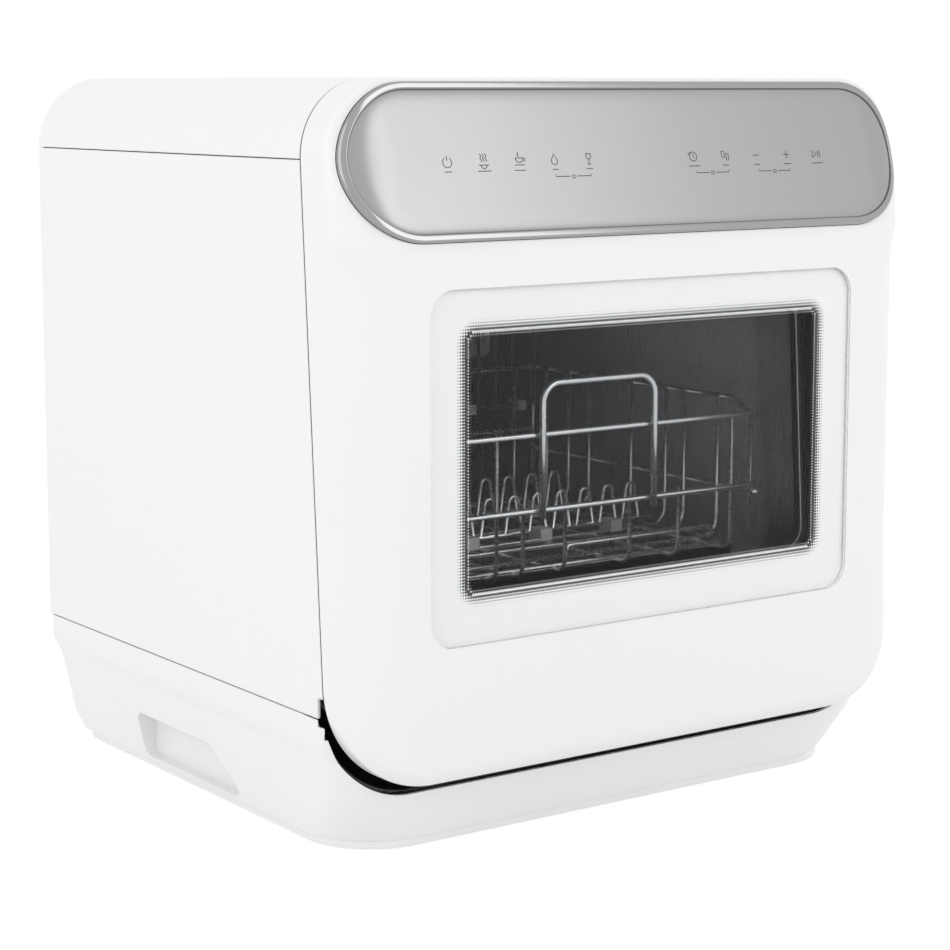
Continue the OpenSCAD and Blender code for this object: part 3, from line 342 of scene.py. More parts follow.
@dataclass(frozen=True)
class GlassFinish:
    """Clear glass that lets the lamps' light through unbent.

    Attributes:
        name: the material's name.
        color: colour of what passes through it.
        smear: highest roughness of its faint smears.
        mirror: strength of its reflections.
        ior: index of refraction.
        slot: the record's material slot.
    """

    name: str
    color: Color
    smear: float = 0.008
    mirror: float = 0.5
    ior: float = 1.25
    slot: str = "tinted_glass"

    def material(self) -> bpy.types.Material:
        """Build the glass, with faint smears in its roughness."""
        found = bpy.data.materials.get(self.name)
        if found:
            return found
        mat, tree, shader = blank_material(self.name)
        feed(tree, shader, {"Base Color": (*self.color, 1), "Transmission Weight": 1.0,
                            "IOR": self.ior, "Specular Tint": (*[self.mirror] * 3, 1)})
        place = add_node(tree, "ShaderNodeTexCoord").outputs["Object"]
        noise = add_node(tree, "ShaderNodeTexNoise", {"Vector": place, "Scale": 18, "Detail": 4})
        spread = add_node(tree, "ShaderNodeMapRange", {
            "Value": noise.outputs["Fac"], "From Min": 0.45, "To Max": self.smear})
        feed(tree, shader, {"Roughness": spread.outputs["Result"]})
        clear = add_node(tree, "ShaderNodeBsdfTransparent", {"Color": (*self.color, 1)})
        rays = add_node(tree, "ShaderNodeLightPath")
        blend = add_node(tree, "ShaderNodeMixShader", {
            0: rays.outputs["Is Shadow Ray"], 1: shader.outputs[0], 2: clear.outputs[0]})
        feed(tree, tree.nodes["Material Output"], {"Surface": blend.outputs[0]})
        return mat


CASE_WHITE = Finish("glossy_case", "white_plastic", (0.88, 0.883, 0.885), 0.32, coat=0.2,
                    tint=0.012, cloud_mm=180, grain_mm=1.4, relief=0.003)
PANE_WHITE = Finish("pane_enamel", "white_enamel", (0.97, 0.972, 0.975), 0.35, tint=0.01,
                    relief=0.001)
SILVER_FACE = Finish("satin_panel", "panel_silver", (0.37, 0.374, 0.378), 0.3, metallic=0.92,
                     grain_mm=0.35, relief=0.006, tint=0.04, cloud_mm=90)
RIM_CHROME = Finish("polished_rim", "dark_chrome", (0.36, 0.365, 0.37), 0.16, metallic=1.0,
                    grain_mm=0.5, relief=0.001)
# Base colour set far darker than bare stainless steel: painted shade for the dim inside of the
# closed tub. The liner, rails, filter, spray arm and heater share it; its clouding is random tone.
SHADE_DARKENED_STEEL = Finish("brushed_tub", "stainless", (0.075, 0.077, 0.08), 0.3, metallic=1.0,
                   grain_mm=0.5, spread=0.12, tint=0.12, cloud_mm=45, grain=Grain.ALONG_Z)
WIRE_SILVER = Finish("coated_wire", "rack_wire", (0.82, 0.825, 0.83), 0.26, metallic=0.85,
                     grain_mm=0.6)
DARK_WIRE = Finish("dark_coated_wire", "dark_plastic", (0.06, 0.062, 0.066), 0.4)
GREY_PLASTIC = Finish("moulded_grey", "grey_plastic", (0.42, 0.425, 0.43), 0.42, relief=0.006)
PALE_PLASTIC = Finish("moulded_pale", "grey_plastic", (0.62, 0.625, 0.63), 0.4, relief=0.006)
DARK_PLASTIC = Finish("moulded_dark", "dark_plastic", (0.03, 0.031, 0.034), 0.5, relief=0.01)
RUBBER = Finish("soft_rubber", "black_rubber", (0.018, 0.018, 0.02), 0.7, relief=0.012,
                spread=0.1)
ZINC = Finish("zinc_spangle", "zinc", (0.5, 0.5, 0.49), 0.38, metallic=1.0, grain_mm=2.5,
              relief=0.01, spread=0.12, tint=0.12, cloud_mm=12)
REAR_PAINT = Finish("rear_powder_coat", "rear_plate", (0.66, 0.665, 0.67), 0.45, grain_mm=1.2,
                    relief=0.012)
TANK_PLASTIC = Finish("milky_tank", "clear_plastic", (0.72, 0.77, 0.8), 0.3, relief=0.006)
BOARD_GREEN = Finish("board_resist", "board_green", (0.02, 0.12, 0.05), 0.45, relief=0.01)
CLIP_WHITE = Finish("clip_white", "grey_plastic", (0.85, 0.85, 0.84), 0.35)
FLOAT_RED = Finish("float_moulding", "float_red", (0.5, 0.07, 0.02), 0.4, relief=0.006)
ICON_INK = Finish("panel_ink", "dark_plastic", (0.05, 0.052, 0.056), 0.5, relief=0.002)
PANE_GLASS = GlassFinish("clear_pane", (0.985, 0.988, 0.99))
TINTED_GLASS = GlassFinish("smoked_pane", (0.82, 0.83, 0.84))


# ---- building and dressing meshes ----


def make_mesh(name: str, verts: Sequence[Point], faces: Sequence[Sequence[int]]) -> Obj:
    """Make an object at the origin from points in millimetres.

    Args:
        name: name of the object.
        verts: points in millimetres, in the shared frame.
        faces: corners of each face.

    Returns:
        The new object, linked to the scene.
    """
    mesh = bpy.data.meshes.new(name)
    mesh.from_pydata([Vector(v) * MM for v in verts], [], faces)
    tidy_normals(mesh)
    return placed(name, mesh)


def placed(name: str, mesh: bpy.types.Mesh) -> Obj:
    """Put a mesh into the scene as an object at the origin."""
    obj = bpy.data.objects.new(name, mesh)
    bpy.context.scene.collection.objects.link(obj)
    return obj


def tidy_normals(mesh: bpy.types.Mesh) -> None:
    """Merge doubled points and turn every face outwards."""
    shape = bmesh.new()
    shape.from_mesh(mesh)
    bmesh.ops.remove_doubles(shape, verts=shape.verts, dist=1e-7)
    bmesh.ops.dissolve_degenerate(shape, edges=shape.edges, dist=1e-8)
    bmesh.ops.recalc_face_normals(shape, faces=shape.faces)
    shape.to_mesh(mesh)
    shape.free()


def smooth(obj: Obj, degrees: float = SHARP) -> None:
    """Shade an object smoothly, with sharp edges past an angle."""
    obj.data.polygons.foreach_set("use_smooth", [True] * len(obj.data.polygons))
    obj.data.set_sharp_from_angle(angle=math.radians(degrees))


def bevel(obj: Obj, width: float, segments: int) -> None:
    """Round an object's sharp edges with a live bevel."""
    mod = obj.modifiers.new("edges", "BEVEL")
    mod.width = width * MM
    mod.segments = segments
    mod.limit_method = "ANGLE"
    mod.angle_limit = math.radians(50)
    mod.harden_normals = True


def settle(obj: Obj) -> None:
    """Turn an object's modifiers into plain mesh."""
    bpy.context.view_layer.update()
    graph = bpy.context.evaluated_depsgraph_get()
    mesh = bpy.data.meshes.new_from_object(obj.evaluated_get(graph))
    obj.modifiers.clear()
    obj.data = mesh


def cut(obj: Obj, tool: Obj) -> None:
    """Cut one mesh with another and remove the tool."""
    mod = obj.modifiers.new("cut", "BOOLEAN")
    mod.object = tool
    mod.operation = "DIFFERENCE"
    mod.solver = "EXACT"
    settle(obj)
    bpy.data.objects.remove(tool)


def finish(obj: Obj, look: Finish | GlassFinish, body: str, *nodes: str, slot: str = "",
           sharp: float = SHARP, edge: float = 0.0, segments: int = 3) -> Obj:
    """Dress a piece, let it ride on its body and hide the frame nodes it stands in for.

    Args:
        obj: the piece.
        look: its finish.
        body: the body it moves with.
        nodes: frame nodes that it stands in for, which are hidden.
        slot: not used.
        sharp: edges that turn by more degrees than this stay sharp; 0 leaves it flat.
        edge: width of the rounding along its edges, 0 for none.
        segments: segments of that rounding.

    Returns:
        The same object.
    """
    if sharp:
        smooth(obj, sharp)
    if edge:
        bevel(obj, edge, segments)
    obj.data.materials.clear()
    obj.data.materials.append(look.material())
    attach(obj, body)
    slot or look.slot
    if nodes:
        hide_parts(*nodes)
    log.info("%s rides on %s: %d faces", obj.name, body, len(obj.data.polygons))
    return obj


def prism(name: str, outline: Sequence[Flat], a: float, b: float, place: Place) -> Obj:
    """Extrude a flat outline from depth a to depth b.

    Args:
        name: name of the object.
        outline: the flat outline.
        a: first depth.
        b: second depth.
        place: gives the shared frame's point for (u, v, depth).

    Returns:
        The closed solid.
    """
    n = len(outline)
    verts = [place(u, v, d) for d in (a, b) for u, v in outline]
    faces = [[i, (i + 1) % n, n + (i + 1) % n, n + i] for i in range(n)]
    faces += [list(range(n)), list(range(n, 2 * n))]
    return make_mesh(name, verts, faces)


def ring_prism(name: str, outer: Sequence[Flat], inner: Sequence[Flat], a: float, b: float,
               place: Place) -> Obj:
    """Extrude the strip between two outlines of equal length from depth a to depth b."""
    n = len(outer)
    verts = [place(u, v, d) for d in (a, b) for line in (outer, inner) for u, v in line]
    faces = []
    for i in range(n):
        j = (i + 1) % n
        faces += [[p + i, p + j, q + j, q + i]
                  for p, q in ((0, n), (2 * n, 3 * n), (0, 2 * n), (n, 3 * n))]
    return make_mesh(name, verts, faces)


def loft(name: str, rings: Sequence[Sequence[Point]]) -> Obj:
    """Close a solid through rings of equal length."""
    n = len(rings[0])
    verts = [p for ring in rings for p in ring]
    faces = [list(range(n)), list(range(n * (len(rings) - 1), n * len(rings)))]
    for k in range(0, n * (len(rings) - 1), n):
        faces += [[k + i, k + (i + 1) % n, k + n + (i + 1) % n, k + n + i] for i in range(n)]
    return make_mesh(name, verts, faces)


def in_xz(u: float, v: float, d: float) -> Point:
    """Outline in the front view, depth along y."""
    return (u, d, v)


def in_yz(u: float, v: float, d: float) -> Point:
    """Outline in the side view, depth along x."""
    return (d, u, v)


def in_xy(u: float, v: float, d: float) -> Point:
    """Outline seen from above, depth along z."""
    return (u, v, d)


def in_seam(u: float, v: float, d: float) -> Point:
    """Outline in the seam plane, depth square to it."""
    return BODY.in_seam((u, d, v))


@dataclass(frozen=True)
class Fitting:
    """A part that keeps its solid's shape and gets a finish and rounded edges.

    Attributes:
        node: the frame node that it stands in for.
        look: its finish.
        edge: width of the rounding along its edges, 0 for none.
        body: the body it moves with.
        segments: segments of the rounding.
        sharp: edges that turn by more degrees than this stay sharp.
        slot: its material slot, where that isn't the finish's own.
    """

    node: str
    look: Finish
    edge: float = 0.0
    body: str = "cabinet"
    segments: int = 2
    sharp: float = COPY_SHARP
    slot: str = ""

    def dress(self) -> None:
        """Stand a smoothly shaded copy in for the frame node."""
        obj = placed(f"{self.node}_dressed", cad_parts[self.node].data.copy())
        shape = bmesh.new()
        shape.from_mesh(obj.data)
        bmesh.ops.remove_doubles(shape, verts=shape.verts, dist=2e-6)
        shape.to_mesh(obj.data)
        shape.free()
        finish(obj, self.look, self.body, self.node, slot=self.slot, sharp=self.sharp,
               edge=self.edge, segments=self.segments)


def dress_all(*fittings: Fitting) -> None:
    """Dress fittings in order."""
    for part in fittings:
        part.dress()


# ---- repeated shapes, by geometry nodes ----


@dataclass(frozen=True)
class Input:
    """One named input of a node tree: its value and its socket type."""

    value: object
    kind: str = "NodeSocketFloat"


class Pattern:
    """A geometry node tree with named inputs, run once and turned into plain mesh."""

    def __init__(self, name: str, inputs: dict[str, Input]) -> None:
        """Start the tree.

        Args:
            name: name of the tree and of the object that it makes.
            inputs: the named inputs with their values.
        """
        self.name = name
        self.inputs = inputs
        self.tree = bpy.data.node_groups.new(name, "GeometryNodeTree")
        face = self.tree.interface
        face.new_socket("Geometry", in_out="INPUT", socket_type="NodeSocketGeometry")
        for key, given in inputs.items():
            face.new_socket(key, in_out="INPUT", socket_type=given.kind)
        face.new_socket("Geometry", in_out="OUTPUT", socket_type="NodeSocketGeometry")
        self.start = self.tree.nodes.new("NodeGroupInput").outputs
        self.end = self.tree.nodes.new("NodeGroupOutput")

    def node(self, kind: str, inputs: dict[object, object] | None = None,
             **values: object) -> Socket:
        """Add a node and give its first result."""
        return add_node(self.tree, kind, inputs, **values).outputs[0]

    def math(self, how: str, *terms: object) -> Socket:
        """Add a math node and give its result."""
        return self.node("ShaderNodeMath", dict(enumerate(terms)), operation=how)

    def close(self, instances: Socket, look: Finish) -> None:
        """Realize the instances and set their material."""
        real = self.node("GeometryNodeRealizeInstances", {"Geometry": instances})
        dress = self.node("GeometryNodeSetMaterial", {"Geometry": real,
                                                      "Material": look.material()})
        feed(self.tree, self.end, {0: dress})

    def run(self, points: Sequence[Point] = ((0.0, 0.0, 0.0),)) -> Obj:
        """Run the tree on points in millimetres and turn the result into plain mesh."""
        mesh = bpy.data.meshes.new(self.name)
        mesh.from_pydata([Vector(p) * MM for p in points], [], [])
        obj = placed(self.name, mesh)
        mod = obj.modifiers.new(self.name, "NODES")
        mod.node_group = self.tree
        for item in self.tree.interface.items_tree:
            if item.item_type == "SOCKET" and item.in_out == "INPUT" and item.name in self.inputs:
                mod[item.identifier] = self.inputs[item.name].value
        settle(obj)
        tidy_normals(obj.data)
        return obj


def stamped(name: str, points: Sequence[Point], stamp: Obj, look: Finish) -> Obj:
    """Set a copy of a small shape at every point.

    Args:
        name: name of the result.
        points: places in millimetres.
        stamp: the small shape at the origin, removed afterwards.
        look: the finish of the copies.

    Returns:
        The copies as one plain mesh.
    """
    pattern = Pattern(name, {"Stamp": Input(stamp, "NodeSocketObject"), "Size": Input(1.0)})
    shape = add_node(pattern.tree, "GeometryNodeObjectInfo", {"Object": pattern.start["Stamp"]})
    copies = pattern.node("GeometryNodeInstanceOnPoints", {
        "Points": pattern.start["Geometry"], "Instance": shape.outputs["Geometry"],
        "Scale": pattern.start["Size"]})
    pattern.close(copies, look)
    obj = pattern.run(points)
    bpy.data.objects.remove(stamp)
    return obj


def screw_head(r: float, h: float, slot: float, turn: Matrix) -> Obj:
    """A domed screw head with a cross recess.

    Args:
        r: radius of the head.
        h: height of the head.
        slot: half width of the cross.
        turn: turns the head from facing +Z.

    Returns:
        The head, at the origin.
    """
    sides, root, reach = 20, -0.4, r * 0.55
    profile = [(r, root)] + [(r * math.cos(a), h * math.sin(a))
                             for a in (math.radians(k * 15) for k in range(6))]
    around = [math.tau * i / sides for i in range(sides)]
    head = loft("head", [[(q * math.cos(a), q * math.sin(a), z) for a in around]
                         for q, z in profile])
    for a, b in ((slot, reach), (reach, slot)):
        cut(head, prism("cross", rect(-a, a, -b, b), h * 0.45, h + 1, in_xy))
    head.data.transform(turn)
    smooth(head)
    return head


# ---- casing ----


@dataclass
class Casing:
    """Top cover, side panels, rear panel with its screws, and the fill opening."""

    gap: float = 0.5
    edge: float = 0.9
    long_steps: int = 12
    depth_steps: int = 8
    corner_steps: int = 28
    lid_at: Flat = (88.0, 40.0)
    lid_w: float = 62.0
    lid_l: float = 52.0
    lid_bezel: float = 3.9
    lid_r: float = 1.2
    buffer_inset: Flat = (0.35, 2.4)
    buffer_depth: Flat = (-0.55, 0.72)
    buffer_low: float = 12.0
    louvre_n: int = 9
    louvre_x: float = 95.0
    louvre_z: float = 150.0
    louvre_pitch: float = 12.0
    louvre_half_l: float = 28.0
    louvre_section: tuple[Flat, ...] = ((-0.2, 3.4), (2.4, 4.6), (2.4, 5.4), (-0.2, 8.4))
    screw_in: float = 14.0
    screw_zs: tuple[float, ...] = (110, 250, 370)

    def case_path(self, t: float, z0: float, z1: float, side: int) -> list[Flat]:
        """Front view of a casing panel, t in from the outline.

        Args:
            t: inset from the outer surface.
            z0: lower end.
            z1: upper end.
            side: -1 or 1 for a side panel, 0 for the top cover.

        Returns:
            The path, from the right side over the top to the left side.
        """
        x, steps = BODY.half_w - t, self.long_steps
        if side:
            return [(side * x, mix(z0, z1, k / steps)) for k in range(steps + 1)]
        cx, cz = BODY.half_w - BODY.top_r, BODY.height - BODY.top_r
        over = [p for p in arc(cx, cz, BODY.top_r - t, 0, 90, self.corner_steps) if p[1] > z0]
        flat = [(mix(cx, -cx, k / steps), BODY.height - t) for k in range(1, steps)]
        return [(x, z0)] + over + flat + [(-u, v) for u, v in reversed(over)] + [(-x, z0)]

    def panel(self, name: str, z0: float, z1: float, side: int) -> Obj:
        """Build one casing panel as a strip with a wall."""
        lines = [self.case_path(t, z0, z1, side) for t in (0, BODY.wall)]
        n, depths = len(lines[0]), self.depth_steps
        verts = [(x, mix(BODY.seam_y(z) + BODY.seam_gap / 2, BODY.y_back, k / depths), z)
                 for line in lines for k in range(depths + 1) for x, z in line]
        layer = n * (depths + 1)
        starts = [k * n + i for k in range(depths) for i in range(n - 1)]
        faces = [[b + a, b + a + 1, b + a + n + 1, b + a + n] for b in (0, layer) for a in starts]
        faces += [[a, a + 1, a + 1 + layer, a + layer]
                  for k in (0, depths) for a in range(k * n, k * n + n - 1)]
        faces += [[a, a + n, a + n + layer, a + layer]
                  for i in (0, n - 1) for a in range(i, i + depths * n, n)]
        return make_mesh(name, verts, faces)

    def lid_block(self) -> Obj:
        """The block that the cover loses to the fill opening."""
        x, y = BODY.half_w - self.lid_at[0], BODY.y_back - self.lid_at[1]
        w, d = self.lid_w / 2 + self.lid_bezel, self.lid_l / 2 + self.lid_bezel
        outline = round_corners(rect(x - w, x + w, y - d, y + d), self.lid_r)
        return prism("lid_hole", outline, BODY.height - 10, BODY.height + 10, in_xy)

    def build(self) -> None:
        """Build and dress all the casing's pieces."""
        half = self.gap / 2
        cover = self.panel("top_cover_shell", BODY.cover_z + half, BODY.height, 0)
        cut(cover, self.lid_block())
        finish(cover, CASE_WHITE, "cabinet", "top_cover", edge=self.edge)
        for side, node in ((-1, "left_side_panel"), (1, "right_side_panel")):
            panel = self.panel(f"{node}_shell", BODY.base_h + half, BODY.cover_z - half, side)
            cut(panel, BODY.hinge_notch())
            finish(panel, CASE_WHITE, "cabinet", node, edge=self.edge)
        self.build_rear()
        self.build_buffer()
        dress_all(Fitting("fill_funnel", CASE_WHITE),
                  Fitting("fill_lid", CASE_WHITE, 0.35, "fill_lid"))

    def build_buffer(self) -> None:
        """Lay the black buffer strip that the door closes against."""
        cx, cz = BODY.half_w - BODY.top_r, BODY.height - BODY.top_r
        low, lines = BODY.base_h + self.buffer_low, []
        for t in self.buffer_inset:
            x, r = BODY.half_w - t, BODY.top_r - t
            lines.append([(x, low)] + arc(cx, cz, r, 0, 90, self.corner_steps)
                         + arc(-cx, cz, r, 90, 180, self.corner_steps) + [(-x, low)])
        verts = [(x, BODY.seam_y(z) + d, z)
                 for d in self.buffer_depth for line in lines for x, z in line]
        n = len(lines[0])
        sides = ((0, n), (n, 3 * n), (3 * n, 2 * n), (2 * n, 0))
        faces = [[a + i, b + i, b + i + 1, a + i + 1] for i in range(n - 1) for a, b in sides]
        faces += [[i, n + i, 3 * n + i, 2 * n + i] for i in (0, n - 1)]
        finish(make_mesh("door_buffer_strip", verts, faces), RUBBER, "cabinet", sharp=40)

    def build_rear(self) -> None:
        """Build the rear panel, its pressed louvres and its screws."""
        dress_all(Fitting("rear_panel", REAR_PAINT))
        y = BODY.y_back
        section, half = round_corners(self.louvre_section, 0.5, 3), self.louvre_half_l
        hood = prism("hood", section, -half, half, in_yz)
        places = [(s * self.louvre_x, y, self.louvre_z + i * self.louvre_pitch)
                  for s in (-1, 1) for i in range(self.louvre_n)]
        finish(stamped("rear_louvres", places, hood, REAR_PAINT), REAR_PAINT, "cabinet")
        turn = Matrix.Rotation(math.radians(-90), 4, "X")
        head = screw_head(r=3.4, h=1.7, slot=0.5, turn=turn)
        places = [(s * (BODY.half_w - self.screw_in), y + 0.05, z)
                  for s in (-1, 1) for z in self.screw_zs]
        finish(stamped("rear_screw_heads", places, head, ZINC), ZINC, "cabinet", "rear_screws")


# ---- base ----


@dataclass
class Base:
    """The tapered base with its hand grips, lip, feet and rear fittings."""

    flare: float = 12.0
    shoulder: float = 5.0
    shoulder_h: float = 15.0
    taper: float = 18.0
    taper_drop: float = 9.0
    head_r: float = 3.0
    foot_r: float = 47.0
    back_r: Flat = (5.0, 15.0)
    chin_z: float = 34.2
    chin_slope: float = 0.26
    swing_r: float = 56.5
    swing_d: float = 48.9
    sweep_y: Flat = (24.9, 42.9)
    sweep_z: Flat = (73.0, 88.0)
    grip_back: float = 100.0
    grip_h: float = 37.0
    grip_l: float = 94.0
    grip_d: float = 14.0
    grip_slope: float = 36.0
    grip_r: float = 8.0
    lip_w: float = 9.0
    lip_in: Point = (1.4, 0.6, 1.5)
    lip_back_r: float = 24.0
    holes: tuple[Point, ...] = ((150, 46, 14.7), (100, 40, 11.0), (-150, 44, 7.4))
    thread_r: float = 13.2
    thread_turns: int = 5
    thread_pitch: float = 2.3
    thread_section: tuple[Flat, ...] = ((-0.3, -0.9), (0.75, -0.2), (0.75, 0.2), (-0.3, 0.9))

    def inset(self, z: float) -> float:
        """How far each side draws in at height z."""
        top = BODY.base_h - self.flare
        low = top - self.taper_drop
        if z > top:
            return 0.0
        return (self.shoulder * ease((top - z) / self.shoulder_h)
                + (self.taper - self.shoulder) * max(0.0, low - z) / (low - BODY.base_z0))

    def front(self, z: float) -> float:
        """Place of the base's front at height z."""
        seam = BODY.seam_y(max(z, self.chin_z)) + BODY.seam_gap / 2
        return seam + max(0.0, self.chin_z - z) * self.chin_slope

    def ring(self, z: float, t: float, at: float) -> list[Point]:
        """One level of the base, t in from its surface.

        Args:
            z: level whose outline is taken.
            t: inset.
            at: height at which the ring is placed.

        Returns:
            The ring's points.
        """
        share = (BODY.base_h - z) / (BODY.base_h - BODY.base_z0)
        front_r = max(0.5, mix(self.head_r, self.foot_r, share ** 1.6) - t)
        back_r = max(0.5, mix(*self.back_r, ease((16 - z) / 10)) - t)
        return self.plan(BODY.half_w - self.inset(z) - t, self.front(z) + t, BODY.y_back - t,
                         front_r, back_r, at)

    def plan(self, hw: float, yf: float, yb: float, rf: float, rr: float, z: float) -> list[Point]:
        """A rounded rectangle seen from above.

        Args:
            hw: half its width.
            yf: its front.
            yb: its back.
            rf: radius of the front corners.
            rr: radius of the back corners.
            z: its height.

        Returns:
            Its points.
        """
        corners = ((-hw + rf, yf + rf, rf), (hw - rf, yf + rf, rf),
                   (hw - rr, yb - rr, rr), (-hw + rr, yb - rr, rr))
        return [(x, y, z) for (cx, cy, r), a in zip(corners, (180, 270, 0, 90))
                for x, y in arc(cx, cy, r, a, a + 90, 18)]

    def levels(self) -> list[float]:
        """Heights of the rings, closer together where the sides flare."""
        return ([BODY.base_z0 + k * 2.45 for k in range(14)] + list(range(40, 56, 3))
                + [57 + k * 1.5 for k in range(11)] + [78, BODY.base_h])

    def grip_outline(self, t: float) -> list[Flat]:
        """Side view of a hand grip, grown by t."""
        y, low = BODY.y_back - self.grip_back, BODY.base_z0 + 2 - t
        top, far = self.grip_h + t, y - self.grip_l
        return round_corners([(y + t, low), (y + t, top), (far - t * 0.5, top),
                              (far - self.grip_slope - t * 2, low)], self.grip_r + t, 10)

    def swing(self) -> Obj:
        """The opening that the door's lower edge swings through."""
        r, wide, high = self.swing_r, BODY.half_w + 9, 200
        x, z = BODY.half_w - r, self.chin_z + r
        line = (arc(x, z, r, -90, 0, 32) + [(wide, z), (wide, high), (-wide, high), (-wide, z)]
                + arc(-x, z, r, 180, 270, 32))
        return prism("swing", line, BODY.y_face, BODY.y_face + self.swing_d, in_xz)

    def build_tray(self) -> Obj:
        """Build the base's moulded tray with its pockets and openings."""
        t, levels = BODY.wall, self.levels()
        tray = loft("base_tray_shell", [
            self.ring(z, 0, z if z < BODY.base_h else z - 0.25) for z in levels])
        hollow = loft("hollow", [self.ring(z, t, z + (t if z == levels[0] else 0)
                                           + (1 if z == levels[-1] else 0)) for z in levels])
        grip_x = BODY.half_w - self.inset(self.grip_h) - self.grip_d
        for s in (-1, 1):
            cut(hollow, prism("block", self.grip_outline(t), s * (grip_x - t),
                              s * (BODY.half_w + 5), in_yz))
        cut(tray, hollow)
        sweep = rect(*(BODY.y_face + y for y in self.sweep_y), *self.sweep_z)
        for s in (-1, 1):
            cut(tray, prism("pocket", self.grip_outline(0), s * grip_x, s * (BODY.half_w + 9),
                            in_yz))
            cut(tray, prism("slot", sweep, s * (BODY.half_w - t - 1), s * (BODY.half_w - 1.2),
                            in_yz))
        cut(tray, self.swing())
        cut(tray, BODY.hinge_notch())
        for x, z, r in self.holes:
            cut(tray, prism("hole", arc(x, z, r, 0, 355, 71), BODY.y_back - 30,
                            BODY.y_back + 10, in_xz))
        return tray

    def lip_ring(self, t: float, z: float) -> list[Point]:
        """One level of the lip under the base, t in from its outside."""
        side, front, back = self.lip_in
        return self.plan(BODY.half_w - self.taper - side - t,
                         self.front(BODY.base_z0) + front + t, BODY.y_back - back - t,
                         self.foot_r - 2 - t, self.lip_back_r - t, z)

    def build(self) -> None:
        """Build and dress the base."""
        finish(self.build_tray(), CASE_WHITE, "cabinet", "base_tray", sharp=36)
        z0, z1, w = corner("base_lip", 0, 2), BODY.base_z0, self.lip_w
        lip = loft("base_lip_band", [self.lip_ring(0, z) for z in (z0, z1 - 0.01)])
        cut(lip, loft("lip_hole", [self.lip_ring(w, z) for z in (z0 - 1, z1 + 1)]))
        finish(lip, CASE_WHITE, "cabinet", "base_lip", edge=0.5)
        dress_all(Fitting("rubber_feet", RUBBER, 0.3), Fitting("door_well", DARK_PLASTIC),
                  Fitting("inlet_valve", CASE_WHITE, 0.4),
                  Fitting("drain_spigot", GREY_PLASTIC, 0.4),
                  Fitting("cable_gland", DARK_PLASTIC, 0.4))
        self.build_thread()

    def build_thread(self) -> None:
        """Wind the thread on the water inlet."""
        x, z = self.holes[0][:2]
        section, steps = [(self.thread_r + q, d) for q, d in self.thread_section], 36
        rings = []
        for i in range(self.thread_turns * steps + 1):
            a, y = math.tau * i / steps, BODY.y_back + 5 + i / steps * self.thread_pitch
            rings.append([(x + q * math.cos(a), y + d, z + q * math.sin(a)) for q, d in section])
        finish(loft("inlet_thread", rings), CASE_WHITE, "cabinet", sharp=50)


# ---- door ----


